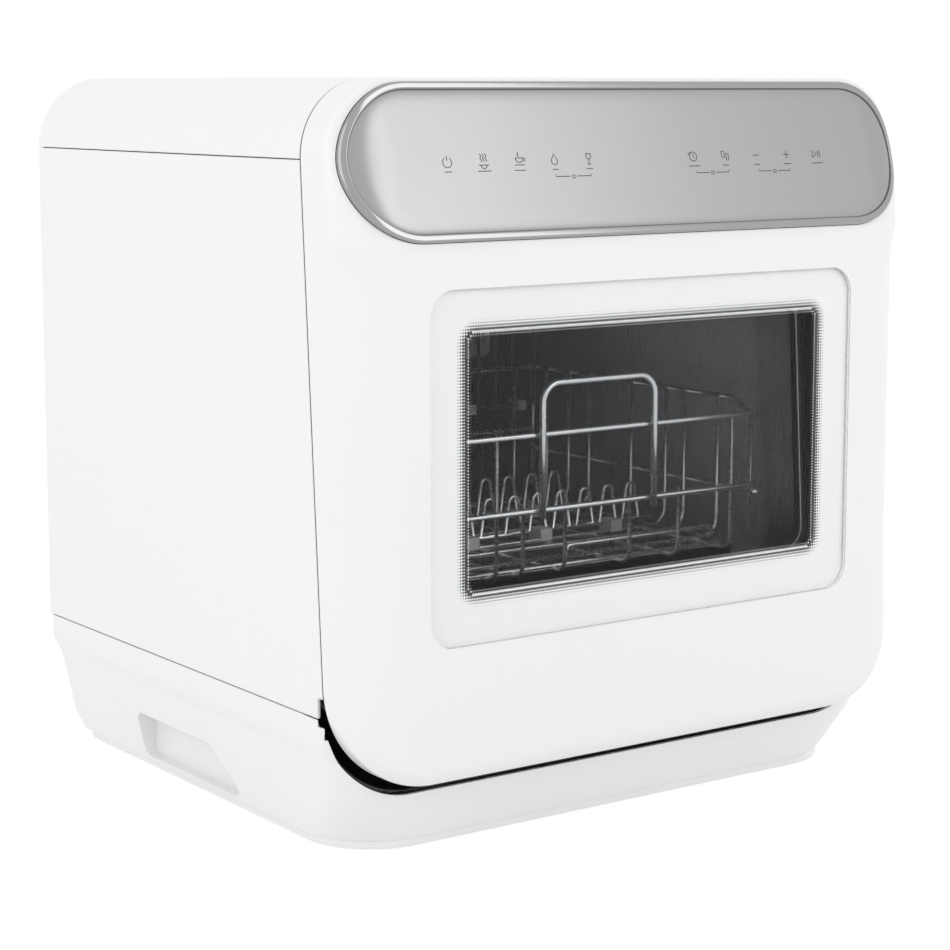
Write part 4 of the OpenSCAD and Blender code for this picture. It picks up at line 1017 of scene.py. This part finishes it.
@dataclass
class Door:
    """The door: moulded shell, window, liner, hinge arms, latch tongue and dispenser."""

    z0: float = 42.0
    low_r: float = 60.0
    wall: float = 2.6
    low_roll_z: float = 12.0
    low_roll_y: float = 14.0
    top_roll: Flat = (3.0, 2.5)
    low_side: Flat = (54.0, 27.0)
    pane_w: float = 313.2
    pane_r: float = 16.0
    pane_in: float = 0.6
    pane_gap: float = 0.12
    glass_t: float = 3.2
    view_w: float = 262.0
    border_h: float = 52.0
    liner_t: float = 1.0
    seal_t: float = 3.0
    inner_in: Flat = (9.0, 6.0)
    inner_r: float = 16.0
    screw_in: float = 22.0
    screw_zs: tuple[float, ...] = (140, 230, 320)

    def half_w(self, z: float, t: float) -> float:
        """Half the door's width at height z, t in from its outline."""
        low, top = self.z0 + self.low_r, BODY.height - BODY.top_r
        for r, past in ((self.low_r, low - z), (BODY.top_r, z - top)):
            if past > 0:
                return BODY.half_w - r + math.sqrt(max(0.0, (r - t) ** 2 - past ** 2))
        return BODY.half_w - t

    def edge_depth(self, x: float, up: float, r: float) -> float:
        """Depth in from the outline along the lower or top edge and its corners.

        Args:
            x: distance from the middle.
            up: height above the lower edge, or below the top edge.
            r: radius of the corners there.

        Returns:
            The depth, or a large number away from that edge.
        """
        if up > r:
            return 99.0
        if x < BODY.half_w - r:
            return up
        return r - math.hypot(x - BODY.half_w + r, up - r)

    def side_roll(self, x: float, z: float) -> float:
        """Drop of the door's front towards its sides."""
        u = ease((z - BODY.panel_z0 + 30) / 60)
        wide, deep = (mix(a, b, u) for a, b in zip(self.low_side, BODY.crown_roll))
        room = BODY.door_low_d + BODY.lean * (z - BODY.base_h) - 4
        return roll(BODY.half_w - x, wide, min(deep, room))

    def front(self, x: float, z: float) -> float:
        """The door's front surface."""
        x = abs(x)
        weight = min(1.0, max(0.0, (self.z0 + self.low_r - z) / self.low_r))
        low = self.edge_depth(x, z - self.z0, self.low_r)
        top = self.edge_depth(x, BODY.height - z, BODY.top_r)
        return (BODY.y_face + max(0.0, z - BODY.panel_z0) * math.tan(BODY.panel_tilt)
                + self.side_roll(x, z) + roll(low, self.low_roll_z, self.low_roll_y * weight ** 2)
                + roll(top, *self.top_roll))

    def ring(self, z: float, t: float, back: float, n: int) -> list[Point]:
        """One level of the door: its front and the two ends of its back."""
        hw = self.half_w(z, t)
        spread = [-hw * math.cos(math.pi * i / n) for i in range(n + 1)]
        y = BODY.seam_y(z) + back
        return [(-hw, y, z)] + [(x, self.front(x, z) + t, z) for x in spread] + [(hw, y, z)]

    def levels(self, t: float, fine: int) -> list[float]:
        """Heights of the rings, closer together in the corners.

        Args:
            t: inset from the door's surface.
            fine: levels in each corner.

        Returns:
            The heights, rising.
        """
        def angles(a0: float, a1: float) -> list[float]:
            return [math.radians(mix(a0, a1, k / fine)) for k in range(fine + 1)]

        low, top, bend_z = self.low_r - t, BODY.top_r - t, BODY.panel_z0
        bottom = [self.z0 + t + low * (1 - math.cos(a)) for a in angles(3, 90)]
        middle = [115, 150, 200, 250, 290, 310] + list(range(317, 342, 4))
        middle += [bend_z - 2, bend_z, bend_z + 2] + [bend_z + 6 + k * 4 for k in range(8)]
        crown = [BODY.height - t - top * (1 - math.sin(a)) for a in angles(2, 88)]
        middle = [z for z in middle if bottom[-1] + 2 < z < crown[0] - 1]
        return bottom + middle + crown + [BODY.height - t - 0.02]

    def pane_outline(self, grow: float) -> list[Flat]:
        """Outline of the outer pane, grown."""
        return round_rect(self.pane_w + 2 * grow, BODY.pane_z0 - grow,
                          BODY.pane_z0 + BODY.pane_h + grow, self.pane_r + grow)

    @property
    def view_h(self) -> float:
        """Height of the clear view."""
        return BODY.pane_h - self.border_h

    @property
    def view_z0(self) -> float:
        """Height of the clear view's lower edge."""
        return BODY.pane_z0 + self.border_h / 2 + 2

    @property
    def ledge_y(self) -> float:
        """Place of the ledge behind the outer pane."""
        return BODY.y_face + self.pane_in + self.glass_t + 0.4

    def view_outline(self, grow: float, r: float) -> list[Flat]:
        """Outline of the clear view, grown, with as many points as the pane's."""
        return round_rect(self.view_w + 2 * grow, self.view_z0 - grow,
                          self.view_z0 + self.view_h + grow, r)

    def inner_outline(self, grow: float) -> list[Flat]:
        """Outline of the window through the liner, in the seam plane."""
        dx, dz = self.inner_in
        return round_rect(self.view_w + 2 * dx + 2 * grow, BODY.up(self.view_z0) - dz - grow,
                          BODY.up(self.view_z0 + self.view_h) + dz + grow, self.inner_r + grow)

    def build(self, panel: "ControlPanel") -> None:
        """Build and dress the whole door.

        Args:
            panel: the control panel that sits in it.
        """
        self.build_shell(panel)
        self.build_window()
        self.build_inside()

    def build_shell(self, panel: "ControlPanel") -> None:
        """Build the moulded shell with its cavity, pane opening and panel seat."""
        back, t, face = -BODY.seam_gap / 2, self.wall, BODY.y_face
        shell = loft("door_shell_moulding",
                     [self.ring(z, 0, back, 96) for z in self.levels(0, 26)])
        cut(shell, loft("cavity", [self.ring(z, t, 5, 40) for z in self.levels(t, 12)]))
        hole = self.pane_outline(self.pane_gap)
        cut(shell, prism("opening", hole, face - 5, face + t + 1, in_xz))
        cut(shell, panel.seat_block())
        finish(shell, CASE_WHITE, "door", "door_shell", sharp=30)
        y, wide = self.ledge_y, self.pane_outline(3)
        ledge = ring_prism("pane_ledge", wide, self.view_outline(9, 12), y, y + 2, in_xz)
        finish(ledge, CASE_WHITE, "door", sharp=0)
        side = ring_prism("pane_surround", wide, hole, face + t - 0.5, y + 0.5, in_xz)
        finish(side, CASE_WHITE, "door")

    def build_window(self) -> None:
        """Build the two panes, the printed border with its dots, and the seal."""
        front = BODY.y_face + self.pane_in
        pane = prism("outer_pane", self.pane_outline(0), front, front + self.glass_t, in_xz)
        finish(pane, PANE_GLASS, "door", "window_pane", edge=0.2, segments=2)
        y = self.ledge_y
        mask = ring_prism("pane_print", self.pane_outline(0), self.view_outline(0, 5),
                          y - 0.32, y - 0.05, in_xz)
        finish(mask, PANE_WHITE, "door", "window_mask", sharp=0)
        DotBand(self).build()
        back = -BODY.seam_gap / 2 - self.liner_t
        mid = back - self.seal_t
        face = mid - self.glass_t
        seal = ring_prism("pane_seal", self.inner_outline(7), self.inner_outline(-1),
                          mid, back, in_seam)
        finish(seal, RUBBER, "door", "window_seal", edge=0.7)
        trim = ring_prism("inner_window_trim", self.inner_outline(1.2), self.inner_outline(-1.4),
                          face - 1.6, face - 0.1, in_seam)
        finish(trim, ZINC, "door", edge=0.5)
        inner = prism("back_pane", self.inner_outline(6), face, mid, in_seam)
        finish(inner, TINTED_GLASS, "door", "inner_pane", edge=0.5)

    def build_inside(self) -> None:
        """Dress the liner, the hinge arms, the latch tongue and the dispenser."""
        dress_all(
            Fitting("door_liner", SHADE_DARKENED_STEEL, body="door", sharp=12),
            Fitting("hinge_arm_left", ZINC, 0.4, "door"),
            Fitting("hinge_arm_right", ZINC, 0.4, "door"),
            Fitting("latch_tongue", GREY_PLASTIC, 0.4, "door"),
            Fitting("dispenser_body", PALE_PLASTIC, 0.5, "door"),
            Fitting("dispenser_lid", PALE_PLASTIC, 0.3, "dispenser_lid"),
            Fitting("panel_board", BOARD_GREEN, body="door"),
            Fitting("door_screws", ZINC, body="door"))
        turn = Matrix.Rotation(math.radians(-90) - BODY.lean_a, 4, "X")
        head = screw_head(r=3.0, h=0.55, slot=0.4, turn=turn)
        x, d = BODY.half_w - self.screw_in, 0.02 - BODY.seam_gap / 2
        places = [BODY.in_seam((s * x, d, BODY.up(z))) for s in (-1, 1) for z in self.screw_zs]
        finish(stamped("liner_screw_heads", places, head, ZINC), ZINC, "door")


class Ink(Enum):
    """The two prints of the dot band.

    Each holds the side of the view's edge that it lies on, its rows of dots, the radius of
    its largest dots, and its distance in front of the ledge.
    """

    DARK = (1.0, 4.4, 1.08, 0.35)
    WHITE = (-1.0, 2.2, 0.74, 0.3)


@dataclass
class DotBand:
    """Printed dots that fade the pane's white border into the clear view."""

    door: Door
    pitch: float = 1.75
    corner: float = 7.0
    reach: float = 9.0
    thickness: float = 0.03
    smallest: float = 0.14

    def build(self) -> None:
        """Build both prints."""
        self.build_print(Ink.DARK, ICON_INK)
        self.build_print(Ink.WHITE, PANE_WHITE)

    def build_print(self, ink: Ink, look: Finish) -> None:
        """Build one print: dots on a square grid, smaller away from the view's edge.

        Args:
            ink: which of the two prints.
            look: its finish.
        """
        side, rows, largest, depth = ink.value
        w, h, p = self.door.view_w, self.door.view_h, self.pitch
        nx, nz = (2 * round((size / 2 + self.reach) / p) + 1 for size in (w, h))
        pat = Pattern(f"pane_dots_{ink.name.lower()}", {
            key: Input(value * MM) for key, value in (
                ("View width", w), ("View height", h), ("Pitch", p), ("Band", rows * p),
                ("Largest dot", largest), ("Corner", self.corner))})
        size, math_node = pat.start, pat.math
        grid = pat.node("GeometryNodeMeshGrid", {
            "Size X": math_node("MULTIPLY", size["Pitch"], nx - 1.0),
            "Size Y": math_node("MULTIPLY", size["Pitch"], nz - 1.0),
            "Vertices X": nx, "Vertices Y": nz})
        place = add_node(pat.tree, "ShaderNodeSeparateXYZ",
                         {0: pat.node("GeometryNodeInputPosition")}).outputs
        across, along = (
            math_node("ADD", size["Corner"], math_node(
                "SUBTRACT", math_node("ABSOLUTE", place[k]), math_node("MULTIPLY", size[key], 0.5)))
            for k, key in enumerate(("View width", "View height")))
        beyond = [math_node("POWER", math_node("MAXIMUM", value, 0.0), 2.0)
                  for value in (across, along)]
        off = math_node("ADD", math_node("SQRT", math_node("ADD", *beyond)), math_node(
            "MINIMUM", math_node("MAXIMUM", across, along), 0.0))
        off = math_node("MULTIPLY", math_node("SUBTRACT", off, size["Corner"]), side)
        share = math_node("SUBTRACT", 1.0, math_node("DIVIDE", off, size["Band"]))
        inside = math_node("MULTIPLY", math_node("GREATER_THAN", off, 0.0),
                           math_node("GREATER_THAN", share, self.smallest))
        dot = pat.node("GeometryNodeMeshCylinder", {
            "Vertices": 10, "Side Segments": 1, "Fill Segments": 1,
            "Radius": size["Largest dot"], "Depth": self.thickness * MM})
        pat.close(pat.node("GeometryNodeInstanceOnPoints", {
            "Points": grid, "Selection": inside, "Instance": dot,
            "Scale": pat.node("ShaderNodeCombineXYZ", {0: share, 1: share, 2: 1.0})}), look)
        dots = pat.run()
        middle = Vector((0, self.door.ledge_y - depth, self.door.view_z0 + h / 2)) * MM
        turn = Matrix.Rotation(math.radians(90), 4, "X")
        dots.data.transform(Matrix.Translation(middle) @ turn)
        finish(dots, look, "door", sharp=0)


# ---- control panel ----


@dataclass
class ControlPanel:
    """The pill-shaped panel: polished rim, satin face and generic printed symbols."""

    width: float = 409.0
    rim_w: float = 4.5
    rim_r: float = 1.5
    rim_inner: Flat = (1.1, 0.9)
    rise: float = 2.8
    seat: float = 1.2
    face_drop: float = 0.4
    crown: Flat = (10.0, 1.1)
    line: float = 0.5
    icon_pitch: float = 24.4
    icon_v: float = 44.2
    bar_v: float = 38.6
    bracket_v: float = 34.5
    bracket_us: tuple[float, ...] = (-54.0, 49.2, 98.0)

    @property
    def cx(self) -> float:
        """Distance from the panel's middle to the middle of each round end."""
        return (self.width - BODY.panel_l) / 2

    def place(self, u: float, v: float, d: float) -> Point:
        """Point at (u, v) on the door's skin, d square to it."""
        c, s = math.cos(BODY.panel_tilt), math.sin(BODY.panel_tilt)
        y = roll(BODY.half_w - abs(u), *BODY.crown_roll) * c + d
        return (u, BODY.y_face + y * c + v * s, BODY.panel_z0 - y * s + v * c)

    def ring(self, t: float, d: float) -> list[Point]:
        """The pill's outline, t in from its edge and d square to the skin."""
        r, n = BODY.panel_l / 2, 64
        line = arc(self.cx, r, r - t, -90, 90, n) + arc(-self.cx, r, r - t, 90, 270, n)
        return [self.place(u, v, d) for u, v in line]

    def seat_block(self) -> Obj:
        """The pill-shaped block, following the skin, that the door's shell loses."""
        middle, n = BODY.panel_l / 2, 180
        r, front, back = middle + 0.3, -9, self.seat + 0.1
        rings = []
        for i in range(n):
            u = -(self.cx + r) * math.cos(math.pi * (i + 0.5) / n)
            h = math.sqrt(max(0.0, r * r - max(0.0, abs(u) - self.cx) ** 2))
            rings.append([self.place(u, middle + s * h, d) for s, d in (
                (-1, front), (1, front), (1, back), (-1, back))])
        return loft("seat", rings)

    def build(self) -> None:
        """Build and dress the rim, the face and the symbols."""
        self.build_rim()
        finish(self.crowned_face(), SILVER_FACE, "door", "panel_face")
        finish(self.symbols(), ICON_INK, "door", sharp=0)

    def crowned_face(self) -> Obj:
        """The satin face: flat in its middle, softly rolled off all round."""
        top, most = self.face_drop - self.rise, BODY.panel_l / 2 - self.rim_w - 0.3
        insets = (0, 0.3, 0.8, 1.5, 2.5, 4, 6, 8, 10, 13, 17, 22, 28, 34, most)
        return loft("panel_plate", [self.ring(self.rim_w, self.seat)] + [
            self.ring(self.rim_w + t, top + roll(t, *self.crown)) for t in insets])

    def build_rim(self) -> None:
        """Sweep the rim's rounded section round the pill."""
        top, w, r, (in_w, in_d) = -self.rise, self.rim_w, self.rim_r, self.rim_inner
        section = [(0.0, self.seat), (0.0, top + r)]
        section += [(r - r * math.cos(a), top + r - r * math.sin(a))
                    for a in (math.radians(k * 11.25) for k in range(1, 9))]
        section += [(w - in_w + in_w * math.sin(a), top + in_d - in_d * math.cos(a))
                    for a in (math.radians(k * 15) for k in range(7))]
        section += [(w, self.seat)]
        lines = [self.ring(t, d) for t, d in section]
        n, m = len(lines[0]), len(lines)
        faces = [[a + i, a + (i + 1) % n, b + (i + 1) % n, b + i]
                 for a, b in ((k * n, (k + 1) % m * n) for k in range(m)) for i in range(n)]
        rim = make_mesh("panel_rim_band", [p for line in lines for p in line], faces)
        finish(rim, RIM_CHROME, "door", "panel_rim", sharp=50)

    def stroke(self, points: Sequence[Flat]) -> tuple[list[Point], list[list[int]]]:
        """A flat line with a little height, drawn on the face.

        Args:
            points: the line's points on the panel.

        Returns:
            Its points and faces.
        """
        face = self.face_drop - self.rise
        low, high, last = face + 0.05, face - 0.06, len(points) - 1
        verts: list[Point] = []
        for i, (u, v) in enumerate(points):
            along = Vector(points[min(last, i + 1)]) - Vector(points[max(0, i - 1)])
            side = along.normalized().orthogonal() * self.line / 2
            verts += [self.place(u + s * side.x, v + s * side.y, d)
                      for s, d in ((1, low), (1, high), (-1, high), (-1, low))]
        faces = [[0, 1, 2, 3]]
        faces += [[k + i, k + (i + 1) % 4, k + 4 + (i + 1) % 4, k + 4 + i]
                  for k in range(0, 4 * last, 4) for i in range(4)]
        faces.append([4 * last + i for i in range(4)])
        return verts, faces

    def symbols(self) -> Obj:
        """Draw every symbol, tick bar and bracket as one mesh."""
        verts: list[Point] = []
        faces: list[list[int]] = []
        for u0, v0, lines in self.drawing():
            for line in lines:
                points, sides = self.stroke([(u0 + u, v0 + v) for u, v in line])
                faces += [[i + len(verts) for i in side] for side in sides]
                verts += points
        return make_mesh("panel_symbols", verts, faces)

    def drawing(self) -> list[tuple[float, float, list[list[Flat]]]]:
        """Places and lines of the printed symbols.

        Returns:
            For each symbol its middle and its lines.
        """
        wave = [(0.45 * math.sin(k * 1.1), 0.5 * k - 1.0) for k in range(11)]
        power = [arc(0, -0.3, 2.9, 125, 415, 24), [(0, 0.6), (0, 3.4)]]
        steam = [[(x + dx, z * 0.9 + 0.6) for x, z in wave] for dx in (-1.7, 0, 1.7)]
        steam += [[(-3.4, -2.2), (3.4, -2.2)], arc(0, -2.2, 2.0, 180, 360, 10)]
        pot = [[(-2.6, 1.4), (2.6, 1.4)], arc(0, 1.4, 2.6, 180, 360, 14),
               arc(2.9, 0.4, 0.9, -90, 90, 8), [(-3.4, -2.6), (3.4, -2.6)],
               [(x * 0.7 - 0.6, z * 0.5 + 2.6) for x, z in wave]]
        drop = [arc(0, -0.8, 2.1, -220, 40, 20), [(-1.6, 0.55), (0, 3.3), (1.6, 0.55)]]
        bowl = [(0.9, 0.1), (1.6, 1.2), (1.7, 3.0)]
        glass = [[(-x, z) for x, z in reversed(bowl)] + [(0, -0.3)] + bowl,
                 [(-1.7, 3.0), (1.7, 3.0)], [(0, -0.3), (0, -3.0)], [(-1.4, -3.0), (1.4, -3.0)]]
        clock = [arc(0, 0, 2.7, 0, 360, 24), [(0, 1.7), (0, 0), (1.3, -0.8)],
                 [(-3.6, 2.2), (-2.0, 2.2)], [(-3.9, 1.2), (-2.6, 1.2)]]
        cup = [(-1.2, 2), (-0.9, -2), (0.9, -2), (1.2, 2), (-1.2, 2)]
        tumblers = [[(x + a * s, z + c) for a, z in cup]
                    for x, c, s in ((-1.3, 0.8, 1), (1.9, -0.6, 0.8))]
        minus = [[(-2.4, 0), (2.4, 0)]]
        plus = minus + [[(0, -2.4), (0, 2.4)]]
        play = [[(-3.0, -2.1), (-3.0, 2.1), (0.4, 0), (-3.0, -2.1)]]
        play += [[(x, -2.1), (x, 2.1)] for x in (1.5, 3.0)]
        rows = ((-139.4, (power, steam, pot, drop, glass), (5.0, 9.0, 7.5, 4.0, 4.5)),
                (35.8, (clock, tumblers, minus, plus, play), (8.5, 5.0, 5.0, 6.0, 9.0)))
        out = []
        for u0, shapes, bars in rows:
            for i, (shape, bar) in enumerate(zip(shapes, bars)):
                u = u0 + self.icon_pitch * i
                out += [(u, self.icon_v, shape), (u, self.bar_v, [[(-bar / 2, 0), (bar / 2, 0)]])]
        bracket = [[(s * 12.4, 1.3), (s * 12.4, 0), (s * 2.6, 0)] for s in (-1, 1)]
        box = rect(-1.1, 1.1, -1.0, 0.6)
        return out + [(u, self.bracket_v, bracket + [box + box[:1]]) for u in self.bracket_us]


# ---- wash space ----


@dataclass
class WashSpace:
    """The tub with its fittings, the rack with its folding parts, and the spray arm."""

    rivet_r: float = 2.6
    rivet_xs: tuple[float, ...] = (-120, -78, -36, 60, 100)
    fittings: tuple[Fitting, ...] = (
        Fitting("tub", SHADE_DARKENED_STEEL, sharp=40),
        Fitting("tub_gasket", RUBBER, 0.8, segments=3),
        Fitting("front_frame", REAR_PAINT, 0.3),
        Fitting("rack_rails", SHADE_DARKENED_STEEL, 0.5),
        Fitting("vent_cover", PALE_PLASTIC, 0.6),
        Fitting("filter_plate", SHADE_DARKENED_STEEL, 0.2),
        Fitting("ceiling_sprayer", GREY_PLASTIC, 0.4),
        Fitting("riser_pipe", DARK_PLASTIC, 0.3),
        Fitting("arm_nut", GREY_PLASTIC, 0.4),
        Fitting("spray_arm", SHADE_DARKENED_STEEL, 0.6, "spray_arm", 3),
        Fitting("filter_cup", PALE_PLASTIC, 0.3, "filter_cup"),
        Fitting("rack_frame", WIRE_SILVER, 0, "rack", sharp=50),
        Fitting("rack_handle", WIRE_SILVER, 0, "rack", sharp=50),
        Fitting("rack_clips", CLIP_WHITE, 0.5, "rack"),
        Fitting("cup_shelf", DARK_WIRE, 0, "cup_shelf", sharp=50),
        Fitting("tine_row_front", WIRE_SILVER, 0, "front_tines", sharp=50),
        Fitting("tine_row_rear", WIRE_SILVER, 0, "rear_tines", sharp=50),
    )

    def build(self) -> None:
        """Dress the fittings and set low rivets along the front of the tub's floor."""
        dress_all(*self.fittings)
        y, z = corner("rack_frame", 0, 1) + 4, corner("rack_rails", 0, 2)
        stamp = screw_head(self.rivet_r, h=0.9, slot=0.2, turn=Matrix.Identity(4))
        rivets = stamped("tub_rivets", [(x, y, z) for x in self.rivet_xs], stamp, ZINC)
        finish(rivets, ZINC, "cabinet")


# ---- works ----


@dataclass
class Works:
    """Water, air and power parts behind the panels."""

    fittings: tuple[Fitting, ...] = (
        Fitting("tub_stand", ZINC, 0.5),
        Fitting("water_tank", TANK_PLASTIC, 1.2),
        Fitting("sump", DARK_PLASTIC, 0.5),
        Fitting("wash_pump", DARK_PLASTIC, 1.0),
        Fitting("drain_pump", GREY_PLASTIC, 0.8),
        Fitting("flow_heater", SHADE_DARKENED_STEEL, 0.8),
        Fitting("drying_fan", DARK_PLASTIC, 0.5),
        Fitting("fan_wheel", GREY_PLASTIC, 0.2, "fan_wheel"),
        Fitting("control_box", PALE_PLASTIC, 0.6, slot="white_plastic"),
        Fitting("float_stem", PALE_PLASTIC, 0.2, slot="white_plastic"),
        Fitting("overflow_float", FLOAT_RED, 0.8, "overflow_float"),
        Fitting("hinge_bracket_left", ZINC, 0.3),
        Fitting("hinge_bracket_right", ZINC, 0.3),
        Fitting("latch_housing", DARK_PLASTIC, 0.5),
    )

    def build(self) -> None:
        """Dress each fitting."""
        dress_all(*self.fittings)


# ---- studio ----


@dataclass(frozen=True)
class SoftBox:
    """An area lamp: where it stands, what it looks at, its size and its power."""

    name: str
    place: Point
    aim: Point
    size: Flat
    watts: float


@dataclass
class Studio:
    """Camera, lamps, world and floor."""

    eye: Point = (-899.2, -1281.8, 431.9)
    yaw: float = 35.352
    pitch: float = 7.996
    focal: float = 2439.7
    frame_w: float = 950.0
    sensor: float = 36.0
    shift: Flat = (0.0, -0.05)
    world: float = 0.875
    floor_half: float = 6000.0
    floor_glow: float = 1.08
    floor_share: float = 0.82
    boxes: tuple[SoftBox, ...] = (
        SoftBox("key_box", (-1900, -300, 1100), (0, 0, 220), (1600, 1600), 6),
        SoftBox("front_box", (695, -1750, 1020), (0, -100, 260), (900, 900), 4),
    )

    def build(self) -> None:
        """Set up the studio."""
        self.build_camera()
        for box in self.boxes:
            self.build_box(box)
        self.build_world()
        self.build_floor()
        bpy.context.scene.view_settings.view_transform = "Standard"

    def stand(self, name: str, data: bpy.types.ID, place: Point) -> Obj:
        """Stand a camera or a lamp in the scene."""
        obj = bpy.data.objects.new(name, data)
        obj.location = Vector(place) * MM
        bpy.context.scene.collection.objects.link(obj)
        return obj

    def build_camera(self) -> None:
        """Stand the camera at the viewing angle."""
        data = bpy.data.cameras.new("view")
        data.sensor_width = self.sensor
        data.lens = self.focal / self.frame_w * self.sensor
        data.shift_x, data.shift_y = self.shift
        data.clip_end = 30
        camera = self.stand("view", data, self.eye)
        camera.rotation_euler = (math.radians(90 - self.pitch), 0, math.radians(-self.yaw))
        bpy.context.scene.camera = camera

    def build_box(self, box: SoftBox) -> None:
        """Hang one lamp."""
        data = bpy.data.lights.new(box.name, "AREA")
        data.shape = "RECTANGLE"
        data.size, data.size_y = (side * MM for side in box.size)
        data.energy = box.watts
        aim = (Vector(box.aim) - Vector(box.place)).normalized()
        lamp = self.stand(box.name, data, box.place)
        lamp.rotation_euler = aim.to_track_quat("-Z", "Y").to_euler()

    def seen(self, tree: Nodes) -> Socket:
        """Rays that see the backdrop: camera, glossy and transmission rays."""
        rays = add_node(tree, "ShaderNodeLightPath").outputs
        total = rays["Is Camera Ray"]
        for name in ("Is Glossy Ray", "Is Transmission Ray"):
            total = add_node(tree, "ShaderNodeMath", {0: total, 1: rays[name]},
                             operation="MAXIMUM").outputs[0]
        return total

    def build_world(self) -> None:
        """A white world to look at that lights the room evenly."""
        world = bpy.data.worlds.new("studio_world")
        world.use_nodes = True
        tree = world.node_tree
        level = add_node(tree, "ShaderNodeMapRange", {"Value": self.seen(tree),
                                                      "To Min": self.world})
        feed(tree, tree.nodes["Background"], {"Color": (1, 1, 1, 1),
                                              "Strength": level.outputs["Result"]})
        bpy.context.scene.world = world

    def build_floor(self) -> None:
        """A pale floor that keeps the object's shadow."""
        half = self.floor_half
        floor = make_mesh("studio_floor", [(x, y, 0) for x, y in rect(-half, half, -half, half)],
                          [[0, 1, 2, 3]])
        mat, tree, shader = blank_material("studio_floor")
        feed(tree, shader, {"Base Color": (0.94, 0.94, 0.94, 1), "Roughness": 0.9})
        glow = add_node(tree, "ShaderNodeEmission", {"Strength": self.floor_glow})
        share = add_node(tree, "ShaderNodeMath", {1: self.floor_share}, operation="MULTIPLY")
        feed(tree, share, {0: self.seen(tree)})
        blend = add_node(tree, "ShaderNodeMixShader", {
            0: share.outputs[0], 1: shader.outputs[0], 2: glow.outputs[0]})
        feed(tree, tree.nodes["Material Output"], {"Surface": blend.outputs[0]})
        floor.data.materials.append(mat)


def main() -> None:
    """Build every sub-assembly in order."""
    logging.basicConfig(level=logging.INFO, format="%(name)s: %(message)s")
    Studio().build()
    panel = ControlPanel()
    Casing().build()
    Base().build()
    Door().build(panel)
    panel.build()
    WashSpace().build()
    Works().build()


if __name__ == "__main__":
    main()
